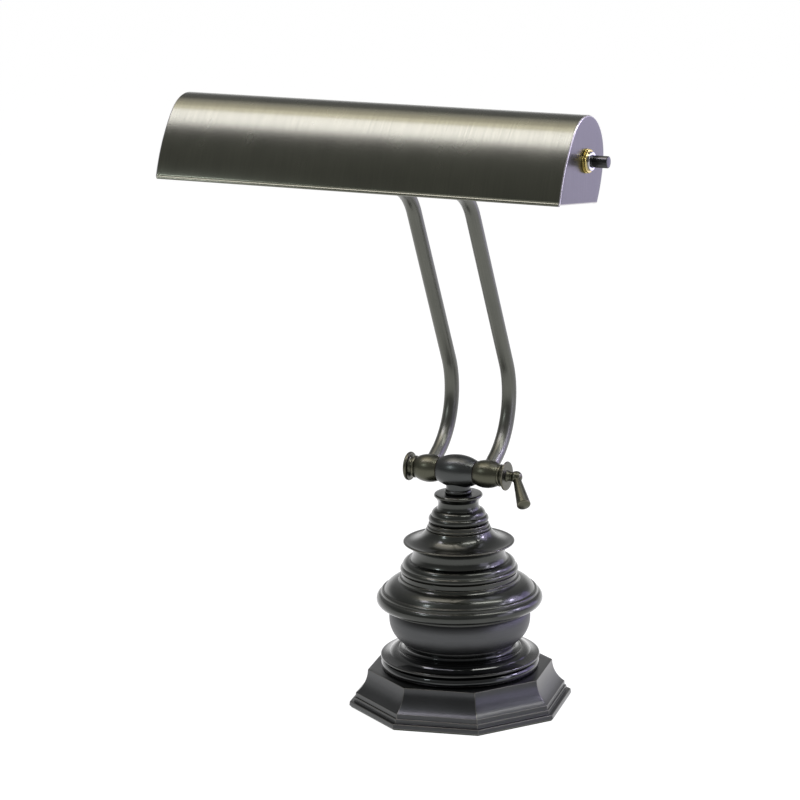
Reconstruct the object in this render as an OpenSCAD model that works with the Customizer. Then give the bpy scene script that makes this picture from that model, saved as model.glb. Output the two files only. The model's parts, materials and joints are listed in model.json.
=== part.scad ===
// Twin-arm piano lamp: an eight-sided weighted foot, a turned column, a clamp bar with a small lever,
// two bent arm tubes and a trough shade that tilts on their ends.
// Frame: X runs along the shade towards its push button, -Y is the side the shade overhangs, Z is up.
// The origin is the centre of the foot's underside. All sizes are in millimetres and degrees.

/* [Foot] */
// Radius of the foot's outer corners
foot_r = 97.4; // [92:0.2:110]
// Height of the foot, felt included
foot_h = 33; // [30:0.5:40]
// Turn of the foot's flats from the line of the shade
foot_turn = 10.5; // [0:0.5:22.5]
// Height of the plain band around the bottom edge
band_h = 5.3; // [3:0.1:7]
// Height of each of the two small steps above the band
step_h = 3.7; // [2.5:0.1:4.5]
// How far the first step sits inside the band
step_in = 4.2; // [2:0.1:5]
// How far the second step sits inside the first
step2_in = 1.6; // [1:0.1:2.5]
// Corner radius of the flat top
foot_top_r = 80.8; // [76:0.2:85]
// Thickness of the top web of the foot
foot_web = 4; // [3:0.5:6]
// Radius of the round hollow under the foot
foot_hollow_r = 67; // [60:0.5:68]
// Thickness of the felt
felt_t = 1.2; // [0.8:0.1:2]
// How far the felt's edge stays inside the foot's edge
felt_in = 1.5; // [0.5:0.1:4]
// Thickness of the iron weight in the foot
ballast_t = 12; // [8:0.5:18]
// Radius of the iron weight
ballast_r = 61; // [50:0.5:61]

/* [Cord inlet] */
// Radius of the bushing's bore, for the mains lead
inlet_r = 3.3; // [2.5:0.1:3.8]
// Radius of the bushing's barrel
bushing_r = 4.6; // [4.3:0.1:5]
// Radius of the bushing's flange
bushing_flange_r = 6; // [5.5:0.1:6.4]
// Height of the bushing's axis above the table
inlet_z = 22.3; // [21.8:0.1:22.8]

/* [Column] */
// Height of the pedestal disc on the foot
ped_h = 24; // [22:0.5:28]
// Radius of the pedestal's thin disc
ped_disc_r = 69.2; // [66:0.2:72]
// Radius of the pedestal's neck under the bowl
ped_neck_r = 50.2; // [47:0.2:52]
// Height of the bowl
bowl_h = 29.4; // [27:0.2:34]
// Radius of the bowl at its fullest
bowl_r = 60.8; // [58:0.2:62]
// Height of the domed cover over the bowl
cover_h = 31; // [30:0.2:34]
// Radius of the cover's rim
cover_r = 71.8; // [69:0.2:74]
// Radius of the cover's small top collar
cover_neck_r = 49.8; // [47:0.2:51]
// Height of the flared collar
flare_h = 43.8; // [42:0.2:48]
// Radius of the flared collar's thin disc
flare_r = 48; // [46.5:0.2:52]
// Radius of the flared collar's waist below the disc
flare_waist_r = 39; // [36:0.2:40]
// Radius of the flared collar's foot bead
flare_foot_r = 50.7; // [48:0.2:52]
// Radius of the small ring on top of the flared collar
flare_ring_r = 27.4; // [26:0.2:29]
// Height of the top vase
vase_h = 25.4; // [25:0.2:29]
// Radius of the bead around the foot of the top vase
vase_bead_r = 25.8; // [24.6:0.2:27]
// Radius of the top vase's neck
vase_neck_r = 17.1; // [15:0.1:18]
// Radius of the flat disc on top of the vase
vase_top_r = 21; // [19.5:0.1:23]
// Thickness of the column castings' webs
column_web = 3; // [2:0.5:4]
// Wall left around the column castings' hollows
column_wall = 5; // [4:0.5:6]

/* [Centre pipe] */
// Radius of the threaded pipe through the column
pipe_r = 5; // [4.5:0.1:5.5]
// Radius of the pipe's bore, the way for the leads
pipe_bore = 3.5; // [3:0.1:3.8]
// Width across the flats of the nut under the foot
pipe_nut_af = 16; // [14:0.5:20]
// Height of the nut under the foot
pipe_nut_h = 5; // [3:0.5:5]
// Radius of the washer over that nut
pipe_washer_r = 13; // [11:0.5:16]
// Thickness of that washer
pipe_washer_t = 1.5; // [1:0.1:2]

/* [Clamp bar] */
// Height of the clamp bar's axis above the vase's top face
axis_rise = 19.3; // [18.8:0.1:22]
// Radius of the ring under the saddle
ring_r = 11.9; // [11:0.1:13]
// Height of the ring under the saddle
ring_h = 3.8; // [3:0.1:4.2]
// Radius of the saddle that cradles the barrel
saddle_r = 10.3; // [9.5:0.1:10.8]
// Half length of the middle barrel
barrel_half = 17; // [15:0.5:19]
// Radius of the barrel at its ends
barrel_end_r = 10.2; // [9.8:0.1:10.6]
// Radius of the barrel at its middle
barrel_mid_r = 14.4; // [13.5:0.1:15]
// Radius of the barrel's spigots that the knuckles turn on
spigot_r = 8; // [7.6:0.1:8.2]
// Length of those spigots inside the knuckles
spigot_l = 6; // [4:0.5:7]
// Thickness of the friction washers
friction_t = 0.6; // [0.4:0.1:1]
// Radius of the way for the leads through the bar
wire_way_r = 5.6; // [5:0.1:5.8]
// Length of each knuckle
knuckle_l = 20.9; // [19:0.1:24]
// Radius of a knuckle where it meets the barrel
knuckle_in_r = 10; // [9.6:0.1:10.5]
// Radius of a knuckle at its fullest
knuckle_mid_r = 12; // [11.4:0.1:12.6]
// Radius of a knuckle at its outer end
knuckle_out_r = 8.8; // [8:0.1:9.5]
// Radius of the clamp rod
rod_r = 3; // [2.5:0.1:3.4]
// Radius of the flange and of the finial
flange_r = 12.5; // [11:0.1:14]
// Length of the flange, ring and neck together
flange_l = 7.4; // [6.5:0.1:9]
// Radius of the ring on the flange's neck
neck_ring_r = 9.6; // [8.8:0.1:10.4]

/* [Lever] */
// Distance from the flange's face to the centre of the lever's ball
ball_out = 8.2; // [7.6:0.1:10]
// Radius of the lever's ball
ball_r = 5.2; // [4.8:0.1:6]
// Distance from the ball's centre to the rim of the handle's end face
lever_l = 32; // [26:0.2:40]
// Radius of the handle next to the ball
lever_r0 = 3.4; // [3:0.1:4]
// Radius of the handle at its end
lever_r1 = 5.9; // [5:0.1:6.5]
// Turn of the handle about the bar, backwards from straight down
lever_lean = -50; // [-70:1:60]
// Angle of the handle outwards, from square to the bar
lever_splay = 30; // [0:1:36]
// Radius of the handle's tenon in the ball
tenon_r = 2.4; // [1.8:0.1:2.6]

/* [Arms] */
// Distance of each arm from the middle plane
arm_x = 27; // [26.5:0.1:27.4]
// Outer radius of the arm tubes
arm_r = 6.35; // [6:0.05:6.6]
// Wall of the arm tubes
arm_wall = 1.2; // [0.8:0.1:1.5]
// Lean of the arms where they leave the knuckles, backwards from upright
arm_lean0 = 60.5; // [56:0.5:64]
// Distance from the bar's axis to the first bend
arm_s1 = 21; // [18:0.5:26]
// Radius of the long lower bend
arm_bend1 = 59.5; // [54:0.5:66]
// Lean of the long straight stretch, forwards from upright
arm_lean1 = 25.3; // [22:0.1:28]
// Length of the long straight stretch
arm_s2 = 153.5; // [140:0.5:170]
// Radius of the upper bend
arm_bend2 = 50; // [44:0.5:56]
// Lean of the last stretch, forwards from upright
arm_lean2 = 70.3; // [67:0.1:73]
// Length of the last stretch, to the shade's tilting axis
arm_s3 = 82; // [78:0.5:92]

/* [Shade] */
// Length of the shade
shade_l = 355.6; // [340:0.2:400]
// Thickness of the shade's sheet
sheet_t = 0.8; // [0.6:0.1:1]
// Radius of the shade's front face
shade_front_r = 125; // [115:1:140]
// Angle that the front face turns through
shade_front_a = 28.1; // [26:0.1:30]
// Radius of the shade's crown
shade_crown_r = 35; // [33:0.5:37]
// Tilt of the shade's open side, front edge up
shade_tilt = 8.2; // [0:0.1:20]
// Depth of the returned hems along the open side
hem = 3.5; // [2:0.1:5]
// Distance of the tilting axis from the shade's front edge, along the open side
pivot_u = 65.6; // [64.5:0.1:67]
// Distance of the tilting axis above the open side
pivot_n = 14.4; // [13.5:0.1:15.2]
// Height of the two slots that let the arms in through the back
slot_h = 26.8; // [26.4:0.1:27.6]
// Width of those slots
slot_w = 15.6; // [14.5:0.1:16.5]
// Depth that the end caps' rims reach into the shell
cap_rim = 6; // [4:0.5:8]
// How far the end caps' faces sit inside the shell's ends
cap_set = 0.5; // [0.2:0.1:1]

/* [Tilt joint] */
// Radius of the eyes on the arm ends
eye_r = 7.6; // [7.2:0.1:8]
// Width of those eyes
eye_w = 12; // [10:0.2:12.4]
// How far the plug of an eye reaches into its tube
eye_plug = 9; // [6:0.5:12]
// Radius of the hollow pins through the eyes
pin_r = 4; // [3.6:0.1:4.3]
// Radius of the pins' bores
pin_bore = 2.7; // [2.6:0.1:3]
// Thickness of the washers beside the eyes
pivot_washer_t = 0.35; // [0.2:0.05:0.5]
// Thickness of the bracket's sheet
bracket_t = 1.6; // [1.2:0.1:2]
// Width across the flats of the pins' nuts
pin_nut_af = 12; // [11:0.5:13]
// Height of the pins' nuts
pin_nut_h = 3; // [2:0.1:3.6]

/* [Lamp and holder] */
// Distance of the lamp's axis from the shade's front edge, along the open side
lamp_u = 43; // [42:0.1:45]
// Distance of the lamp's axis above the open side
lamp_n = 37; // [36:0.1:38]
// Radius of the tubular bulb
bulb_r = 15.5; // [14:0.1:16]
// Length of the bulb's glass
bulb_l = 117; // [110:0.5:122]
// Radius of the bulb's screw base
base_r = 12.9; // [12.7:0.1:13]
// Outer radius of the lampholder
holder_r = 17; // [16:0.1:18]
// Length of the lampholder
holder_l = 42; // [40:0.5:46]

/* [Switch] */
// Distance of the switch's axis from the shade's front edge, along the open side
switch_u = 49.2; // [47:0.1:51]
// Distance of the switch's axis above the open side
switch_n = 34.6; // [33:0.1:36]
// Radius of the switch's body behind the cap
switch_body_r = 9; // [8.6:0.1:10]
// Length of the switch's body behind the cap
switch_body_l = 22; // [18:0.5:26]
// Radius of the switch's threaded bushing
switch_bush_r = 7.5; // [7:0.1:8]
// Reach of the bushing beyond the shade's end
switch_bush_out = 5.2; // [4.8:0.1:7]
// Radius of the knurled ring nut
ring_nut_r = 9.7; // [9:0.1:10.5]
// Thickness of the knurled ring nut
ring_nut_t = 3.4; // [3:0.1:4]
// Radius of the push button
button_r = 4.8; // [4.4:0.1:5.2]
// Reach of the button beyond the bushing
button_out = 13.6; // [10:0.1:16]
// Travel of the push button
button_travel = 3; // [2:0.1:3.5]

/* [Leads] */
// Radius of the single leads in the shade
wire_r = 1.2; // [1:0.05:1.3]

/* [Hidden] */
$fn = 96;
// Clearance of a drilled hole over what passes through it
hole_gap = 0.2;
// Radial clearance where one piece turns or slides in another
run_gap = 0.06;
// Clearance of a piece seated inside another
seat_gap = 0.1;
// A cutter reaches this far past what it cuts
over = 1;
// A square that covers the whole section of the shade
past_shade = [200, 200];
// The bends of the arm tubes are this much fuller than the straight stretches
bend_full = 0.02;

// Levels of the column's pieces, each standing on the one before
ped_z = foot_h;
bowl_z = ped_z + ped_h;
cover_z = bowl_z + bowl_h;
flare_z = cover_z + cover_h;
vase_z = flare_z + flare_h;
vase_top_z = vase_z + vase_h;
axis_z = vase_top_z + axis_rise;

// Under the foot: web, weight, washer, nut and the pipe's lower end
web_z = foot_h - foot_web;
ballast_z = web_z - ballast_t;
pipe_washer_z = ballast_z - pipe_washer_t;
pipe_nut_z = pipe_washer_z - pipe_nut_h;
pipe_low_z = pipe_nut_z - 1;
pipe_high_z = axis_z - 8.9;
// Height of the barrel's underside over the pipe
barrel_low_z = axis_z - barrel_mid_r;

// Along the clamp bar, measured from the middle plane
knuckle_x0 = barrel_half + friction_t + 0.1;
knuckle_x1 = knuckle_x0 + knuckle_l;
flange_x0 = knuckle_x1 + 0.1;
flange_x1 = flange_x0 + flange_l;
hub_x0 = flange_x1 + 0.3;
ball_x = flange_x1 + ball_out;
rod_end_x = ball_x - 1.4;

// Arm path in the Y-Z plane, as headings from upright, backwards positive
arm_bore = arm_r - arm_wall;
arm_in = spigot_r + 0.15;
function heading(a) = [sin(a), cos(a)];
function beside(a) = [-cos(a), sin(a)];
arm_start = [0, axis_z] + arm_in * heading(arm_lean0);
arm_p1 = [0, axis_z] + arm_s1 * heading(arm_lean0);
arm_c1 = arm_p1 + arm_bend1 * beside(arm_lean0);
arm_p2 = arm_c1 - arm_bend1 * beside(-arm_lean1);
arm_p3 = arm_p2 + arm_s2 * heading(-arm_lean1);
arm_c2 = arm_p3 + arm_bend2 * beside(-arm_lean1);
arm_p4 = arm_c2 - arm_bend2 * beside(-arm_lean2);
pivot = arm_p4 + arm_s3 * heading(-arm_lean2);
eye_neck = eye_r + 0.6;
eye_bore = 2.4;
arm_end_s = arm_s3 - eye_neck;

// Shade section: three tangent arcs from the front edge over the crown to the back edge
shade_a0 = 81.6;
shade_back_r = 85;
shade_crown_a = 148.2;
shade_back_a = 22.3;
half_l = shade_l / 2;
cap_t = 1;
cap_x1 = half_l - cap_set;
cap_x0 = cap_x1 - cap_t;
// Centres of the three arcs
front_c = shade_front_r * [sin(shade_a0), -cos(shade_a0)];
crown_a0 = shade_a0 - shade_front_a;
crown_c = front_c + (shade_front_r - shade_crown_r) * [-sin(crown_a0), cos(crown_a0)];
back_a0 = crown_a0 - shade_crown_a;
back_c = crown_c + (shade_crown_r - shade_back_r) * [-sin(back_a0), cos(back_a0)];
back_a1 = back_a0 - shade_back_a;
function arc_points(c, r, a0, a1, n) = [for (i = [0 : n])
    let (a = a0 + (a1 - a0) * i / n) c + r * [-sin(a), cos(a)]];
// The section's outline moved inwards by d, from the front edge to the back edge
function section(d) = concat(
    arc_points(front_c, shade_front_r - d, shade_a0, crown_a0, 12),
    arc_points(crown_c, shade_crown_r - d, crown_a0, back_a0, 48),
    arc_points(back_c, shade_back_r - d, back_a0, back_a1, 10));
back_edge = back_c + shade_back_r * [-sin(back_a1), cos(back_a1)];

// Bracket along the inside of the shade's back
rivet_r = 2;
strip_n0 = slot_h + 2.6;
strip_n1 = strip_n0 + 11;
strip_n = (strip_n0 + strip_n1) / 2;
// The back wall's outside at a height, and how far its face looks up there
crown_end_n = crown_c[1] + shade_crown_r * cos(back_a0);
function back_wall_u(n) = n > crown_end_n
    ? crown_c[0] + sqrt(shade_crown_r * shade_crown_r - pow(n - crown_c[1], 2))
    : back_c[0] + sqrt(shade_back_r * shade_back_r - pow(n - back_c[1], 2));
function back_wall_up(n) = n > crown_end_n ? asin((n - crown_c[1]) / shade_crown_r)
    : asin((n - back_c[1]) / shade_back_r);
strip_gap = 0.7;
strip_u1 = min(back_wall_u(strip_n0), back_wall_u(strip_n1)) - sheet_t - strip_gap + 0.1;
strip_u0 = strip_u1 - bracket_t;
rivet_u = back_wall_u(strip_n);
rivet_up = back_wall_up(strip_n);
rivet_head_r = rivet_r + 1.2;
// Depth below the wall's outside at which the strip's inner face is clear of a rivet's inner head
rivet_depth = (rivet_u - strip_u0) / cos(rivet_up) + rivet_head_r * tan(abs(rivet_up)) + 0.05;
strip_x0 = -46;
strip_x1 = 116;
rivet_xs = [-40, 8, 88];
lug_gap = eye_w / 2 + pivot_washer_t + 0.05;
pin_half = lug_gap + bracket_t + pin_nut_h + 0.6;

// Lamp and holder along X
bulb_x0 = -bulb_l / 2;
bulb_x1 = bulb_l / 2;
base_l = 22;
bulb_wall = 1;
tip_x = bulb_x1 + base_l + 3;
holder_x0 = bulb_x1 - 1.5;
holder_x1 = holder_x0 + holder_l;
holder_floor = 8;
holder_rim = 14;
bracket_x = holder_x1 + 0.05;
// Where the lamp bracket is screwed to the shade's bracket
lamp_screw_x = bracket_x + 8;

// Switch along X
switch_x0 = cap_x0 - 0.1 - switch_body_l;
bush_x1 = half_l + switch_bush_out;
button_x0 = bush_x1 - 9;
button_x1 = bush_x1 + button_out;

// Routes of the single leads, as X, then U and N of the shade's section
pin_end_x = arm_x + pin_half;
live_route = [[pin_end_x - 4, pivot_u, pivot_n + 1.3], [pin_end_x + 4, pivot_u, pivot_n + 1.3],
    [56, 68, 18], [76, 72, 22], [100, 74, 22], [124, 70, 24], [142, 60, 28],
    [switch_x0 - 6, switch_u + 4, switch_n], [switch_x0 - 0.1, switch_u + 4, switch_n]];
neutral_route = [[pin_end_x - 4, pivot_u, pivot_n - 1.3], [pin_end_x + 4, pivot_u, pivot_n - 1.3],
    [56, 69, 13], [76, 74, 17], [96, 74, 18], [110, 68, 22], [112, 60, 27],
    [holder_x1 + 8, lamp_u + 10, lamp_n - 9], [holder_x1 + 0.1, lamp_u + 10, lamp_n - 9]];
return_route = [[switch_x0 - 0.1, switch_u - 4, switch_n], [switch_x0 - 6, switch_u - 4, switch_n],
    [138, 44, 40], [124, 41, 47], [holder_x1 + 8, lamp_u, lamp_n + 12],
    [holder_x1 + 0.1, lamp_u, lamp_n + 12]];
wire_sides = 8;
wire_steps = 4;

// ---- helpers ----

// Points of an arc from p to q that bows out by s on the side of larger radius
function bow(p, q, s, n = 12) =
    let (d = q - p, l = norm(d), w = abs(s), r = (l * l / 4 + w * w) / (2 * w),
        m = (p + q) / 2, e0 = [-d[1], d[0]] / l, e = e0[0] < 0 ? -e0 : e0, g = s > 0 ? 1 : -1,
        c = m - g * (r - w) * e, h = asin(l / 2 / r), f = g * e, t = (q - p) / l)
    [for (i = [0 : n]) let (a = -h + 2 * h * i / n) c + r * (cos(a) * f + sin(a) * t)];

// A turned piece about Z, less a drilled hole of radius hole
module turned(outline, hole) {
    difference() {
        rotate_extrude() polygon(outline);
        translate([0, 0, -over]) cylinder(r = hole, h = max([for (p = outline) p[1]]) + 2 * over);
    }
}

// A turned piece about X, its outline given as radius and X
module turned_x(outline) {
    translate([0, 0, axis_z]) rotate([0, 90, 0]) rotate_extrude() polygon(outline);
}

module hex_prism(af, h) {
    cylinder(r = af / 2 / cos(30), h = h, $fn = 6);
}

module both_sides() {
    children();
    mirror([1, 0, 0]) children();
}

// From the shade's section frame (X, U, N) to the lamp's frame at rest
module in_shade() {
    translate([0, pivot[0], pivot[1]]) rotate([-shade_tilt, 0, 0]) translate([0, -pivot_u, -pivot_n])
        children();
}

// Extrudes a section outline (U, N) along X from x0 to x1
module along_x(x0, x1) {
    translate([x0, 0, 0]) rotate([90, 0, 90]) linear_extrude(x1 - x0) children();
}

// At each rivet, on the back wall's outside with Z square out of it
module at_rivets() {
    for (x = rivet_xs) translate([x, rivet_u, strip_n]) rotate([-90 + rivet_up, 0, 0]) children();
}

// A cylinder along X at (u, n)
module rod_x(u, n, r, x0, x1) {
    translate([x0, u, n]) rotate([0, 90, 0]) cylinder(r = r, h = x1 - x0);
}

// A wire of round section along a smooth curve through the points of a route
function spline(p0, p1, p2, p3, t) = 0.5 * (2 * p1 + (p2 - p0) * t
    + (2 * p0 - 5 * p1 + 4 * p2 - p3) * t * t + (3 * p1 - p0 - 3 * p2 + p3) * t * t * t);
function smooth_route(p) = let (n = len(p) - 1) concat(
    [for (i = [0 : n - 1], k = [0 : wire_steps - 1])
        spline(p[max(i - 1, 0)], p[i], p[i + 1], p[min(i + 2, n)], k / wire_steps)], [p[n]]);
module wire(route, r) {
    c = smooth_route(route);
    m = len(c);
    rings = [for (i = [0 : m - 1])
        let (t0 = i == 0 || i == m - 1 ? [c[m - 1][0] - c[0][0], 0, 0] : c[i + 1] - c[i - 1],
            t = t0 / norm(t0), e0 = [-t[1], t[0], 0] + [0, 0.001, 0], e = e0 / norm(e0),
            e1 = cross([0, 0, 1], t), a = norm(e1) < 0.01 ? e : e1 / norm(e1), b = cross(t, a))
        [for (k = [0 : wire_sides - 1])
            let (w = 360 * k / wire_sides) c[i] + r * (cos(w) * a + sin(w) * b)]];
    points = [for (ring = rings) for (q = ring) q];
    sides = [for (i = [0 : m - 2], k = [0 : wire_sides - 1])
        let (k1 = (k + 1) % wire_sides, s = i * wire_sides, u = s + wire_sides)
            [s + k, s + k1, u + k1, u + k]];
    quads = [for (f = sides) for (g = [[f[0], f[2], f[1]], [f[0], f[3], f[2]]]) g];
    first = [for (k = [0 : wire_sides - 1]) k];
    last = [for (k = [wire_sides - 1 : -1 : 0]) (m - 1) * wire_sides + k];
    polyhedron(points, concat(quads, [first, last]));
}

// ---- foot ----

// Distance from the axis to a flat, for a corner radius r
function flat(r) = r * cos(22.5);
step1_r = foot_r - step_in;
step2_r = step1_r - step2_in;
step2_z = band_h + 2 * step_h;
// The cove starts upright at the top edge and flares out to the lip of the second step
cove_dr = flat(step2_r) - flat(foot_top_r);
cove_dz = foot_h - step2_z;
cove_r = (cove_dr * cove_dr + cove_dz * cove_dz) / (2 * cove_dr);

cove_a = asin(cove_dz / cove_r);
cove = [for (i = [14 : -1 : 0]) let (a = cove_a * i / 14)
    [(flat(foot_top_r) + cove_r * (1 - cos(a))) / cos(22.5), foot_h - cove_r * sin(a)]];

// The foot's outside: corner radius and height, turned with eight flats
module foot_solid() {
    soft = 0.4;
    rotate([0, 0, foot_turn + 22.5]) rotate_extrude($fn = 8) polygon(concat([[0, felt_t],
        [foot_r - soft, felt_t], [foot_r, felt_t + soft], [foot_r - soft, band_h - soft],
        [foot_r - 2 * soft, band_h], [step1_r, band_h], [step1_r, band_h + step_h - soft],
        [step1_r - soft, band_h + step_h], [step2_r, band_h + step_h]], cove, [[0, foot_h]]));
}

// The inlet faces the back: it lies on the flat nearest to +Y
inlet_dir = foot_turn + 90;
inlet_seat = flat(foot_top_r) + 0.2;
pocket = bushing_flange_r + 0.4;
module at_inlet() {
    rotate([0, 0, inlet_dir]) translate([0, 0, inlet_z]) rotate([0, 90, 0]) children();
}

module foot() {
    color("#2f2c2b") difference() {
        foot_solid();
        translate([0, 0, -over]) cylinder(r = foot_hollow_r, h = web_z + over);
        cylinder(r = pipe_r + hole_gap, h = foot_h + over);
        at_inlet() cylinder(r = bushing_r + seat_gap, h = foot_r);
        at_inlet() translate([-pocket, -pocket, inlet_seat]) cube([2 * pocket, 2 * pocket, foot_r]);
    }
}

module felt_pad() {
    color("#3b4a35") rotate([0, 0, foot_turn + 22.5]) cylinder(r = foot_r - felt_in, h = felt_t, $fn = 8);
}

module ballast_weight() {
    color("#4a4a4a") difference() {
        translate([0, 0, ballast_z]) cylinder(r = ballast_r, h = ballast_t);
        cylinder(r = pipe_r + hole_gap, h = foot_h);
    }
}

module cord_bushing() {
    color("#151515") at_inlet() difference() {
        union() {
            translate([0, 0, foot_hollow_r - 1])
                cylinder(r = bushing_r, h = inlet_seat - foot_hollow_r + 1.5);
            translate([0, 0, inlet_seat]) cylinder(r = bushing_flange_r, h = 1.4);
        }
        cylinder(r = inlet_r, h = foot_r);
    }
}

// ---- column ----

module pedestal() {
    rim_z = ped_h - 15.2;
    rim_t = 2.7;
    bead_r = ped_disc_r - 1.5;
    slope = rim_z + rim_t;
    ogee = [ped_neck_r + 10.4, slope + 3.9];
    color("#2f2c2b") translate([0, 0, ped_z]) difference() {
        turned(concat([[0, 0], [bead_r - 1.3, 0], [bead_r - 1.3, 0.9]],
            bow([bead_r - 0.2, 1.2], [bead_r - 0.4, rim_z - 1.4], 1.5),
            [[bead_r - 1.8, rim_z - 1], [bead_r - 1.8, rim_z - 0.2]],
            bow([ped_disc_r - 0.9, rim_z], [ped_disc_r - 0.9, slope], 0.8),
            bow([ped_disc_r - 1.2, slope], ogee, -0.6),
            bow(ogee, [ped_neck_r + 2.4, ped_h - 2.8], 1.5),
            bow([ped_neck_r + 1.9, ped_h - 2.5], [ped_neck_r, ped_h], -0.5),
            [[0, ped_h]]), pipe_r + hole_gap);
        translate([0, 0, -over]) cylinder(r = bead_r - column_wall - 1.8, h = rim_z + over);
        translate([0, 0, -over]) cylinder(r = ped_neck_r - column_wall, h = ped_h - column_web + over);
    }
}

module bowl() {
    full_z = bowl_h - 10.6;
    color("#3a3839") translate([0, 0, bowl_z]) difference() {
        turned(concat([[0, 0]], bow([ped_neck_r, 0], [bowl_r, full_z], 2.7, 20),
            bow([bowl_r, full_z], [bowl_r - 2.4, bowl_h - 1.9], 0.9),
            [[bowl_r - 2.4, bowl_h], [0, bowl_h]]), pipe_r + hole_gap);
        translate([0, 0, column_web]) cylinder(r = ped_neck_r - column_wall + 1, h = bowl_h);
        translate([0, 0, full_z / 2]) cylinder(r = bowl_r - column_wall - 2, h = bowl_h);
    }
}

module cover() {
    rim_h = 12.1;
    dome_z = rim_h + 3.9;
    lip_r = cover_r - 7.9;
    color("#35312c") translate([0, 0, cover_z]) difference() {
        turned(concat([[0, 0], [lip_r - 0.3, 0], [lip_r, 0.3], [lip_r + 0.2, 1.9], [cover_r - 4.4, 2.3]],
            bow([cover_r - 3.7, 2.5], [cover_r - 2.4, rim_h], 2.7),
            [[cover_r - 3.4, rim_h + 0.4]],
            bow([cover_r - 4.2, rim_h + 0.8], [cover_r - 5.8, dome_z], 0.7),
            bow([cover_r - 7, dome_z - 0.1], [cover_neck_r + 2.8, cover_h - 6.8], 1.9),
            [[cover_neck_r + 2, cover_h - 6], [cover_neck_r + 1.7, cover_h - 4],
            [cover_neck_r, cover_h - 3.6], [cover_neck_r, cover_h], [0, cover_h]]), pipe_r + hole_gap);
        translate([0, 0, -over]) cylinder(r = bowl_r - column_wall - 2.4, h = dome_z + 1);
        translate([0, 0, column_web]) cylinder(r = lip_r - column_wall + 2, h = rim_h - column_web);
        translate([0, 0, -over]) cylinder(r = cover_neck_r - column_wall, h = cover_h - column_web + over);
    }
}

module flared_collar() {
    disc_z = flare_h - 17.8;
    waist_z = disc_z - 14.6;
    ring_z = flare_h - 5.6;
    color("#332f2d") translate([0, 0, flare_z]) difference() {
        turned(concat([[0, 0], [flare_foot_r - 1.8, 0]],
            bow([flare_foot_r - 1.3, 0.4], [flare_foot_r - 1.4, 5.2], 1.3),
            [[flare_foot_r - 2.1, 5.8]],
            bow([flare_foot_r - 2.1, 6.3], [flare_waist_r + 4.2, waist_z - 0.5], 1.5),
            bow([flare_waist_r + 2.6, waist_z], [flare_waist_r + 1.6, disc_z - 4], -1.4),
            [[flare_waist_r + 2.8, disc_z - 1.6], [flare_r - 1.6, disc_z - 0.1]],
            bow([flare_r - 0.6, disc_z], [flare_r - 0.8, disc_z + 1.4], 0.5),
            bow([flare_r - 1.6, disc_z + 1.5], [flare_ring_r + 0.6, ring_z - 0.3], -3.4, 20),
            bow([flare_ring_r - 0.8, ring_z], [flare_ring_r - 0.8, ring_z + 2.4], 0.7),
            [[flare_ring_r - 1.8, ring_z + 2.7], [flare_ring_r - 1.8, ring_z + 3.3]],
            bow([flare_ring_r - 1.8, ring_z + 3.4], [flare_ring_r - 2, flare_h - 0.2], 0.5),
            [[flare_ring_r - 2.6, flare_h], [0, flare_h]]), pipe_r + hole_gap);
        translate([0, 0, -over]) cylinder(r = flare_waist_r - column_wall, h = disc_z - column_web + over);
        translate([0, 0, -over])
            cylinder(r = flare_ring_r - column_wall - 2, h = flare_h - column_web + over);
    }
}

module top_vase() {
    color("#332f2d") translate([0, 0, vase_z]) difference() {
        turned(concat([[0, 0], [vase_bead_r - 2, 0]],
            bow([vase_bead_r - 1.5, 0.3], [vase_bead_r - 1.6, 6.2], 1.5),
            [[vase_bead_r - 2.5, 6.6]],
            bow([vase_bead_r - 2.5, 6.9], [vase_neck_r + 1.4, 12.2], 1.3),
            bow([vase_neck_r + 1.4, 12.2], [vase_neck_r + 0.7, vase_h - 6.2], -0.7),
            [[vase_top_r - 1.8, vase_h - 4], [vase_top_r - 0.5, vase_h - 2.6]],
            bow([vase_top_r - 0.4, vase_h - 2.5], [vase_top_r - 0.5, vase_h - 0.5], 0.4),
            [[vase_top_r - 1, vase_h], [0, vase_h]]), pipe_r + hole_gap);
        translate([0, 0, -over]) cylinder(r = vase_neck_r - column_wall, h = vase_h - column_web + over);
    }
}

module centre_pipe() {
    color("#b9a66a") difference() {
        translate([0, 0, pipe_low_z]) cylinder(r = pipe_r, h = pipe_high_z - pipe_low_z);
        translate([0, 0, pipe_low_z - over])
            cylinder(r = pipe_bore, h = pipe_high_z - pipe_low_z + 2 * over);
    }
}

module pipe_washer() {
    color("#a8a8a8") translate([0, 0, pipe_washer_z]) difference() {
        cylinder(r = pipe_washer_r, h = pipe_washer_t);
        translate([0, 0, -over]) cylinder(r = pipe_r + hole_gap, h = pipe_washer_t + 2 * over);
    }
}

module pipe_nut() {
    color("#b9a66a") translate([0, 0, pipe_nut_z]) difference() {
        hex_prism(pipe_nut_af, pipe_nut_h);
        translate([0, 0, -over]) cylinder(r = pipe_r + run_gap, h = pipe_nut_h + 2 * over);
    }
}

// ---- clamp bar ----

module collar_ring() {
    color("#3d3b34") translate([0, 0, vase_top_z])
        turned(concat([[0, 0], [ring_r - 1.2, 0]],
            bow([ring_r - 0.9, 0.2], [ring_r - 0.9, ring_h - 0.2], 0.9),
            [[ring_r - 1.2, ring_h], [0, ring_h]]), pipe_r + hole_gap);
}

// The barrel's outside, made larger by gap
module barrel_outside(gap) {
    turned_x(concat([[0, -barrel_half]],
        bow([barrel_end_r + gap, -barrel_half], [barrel_end_r + gap, barrel_half],
            barrel_mid_r - barrel_end_r, 32),
        [[0, barrel_half]]));
}

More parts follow.
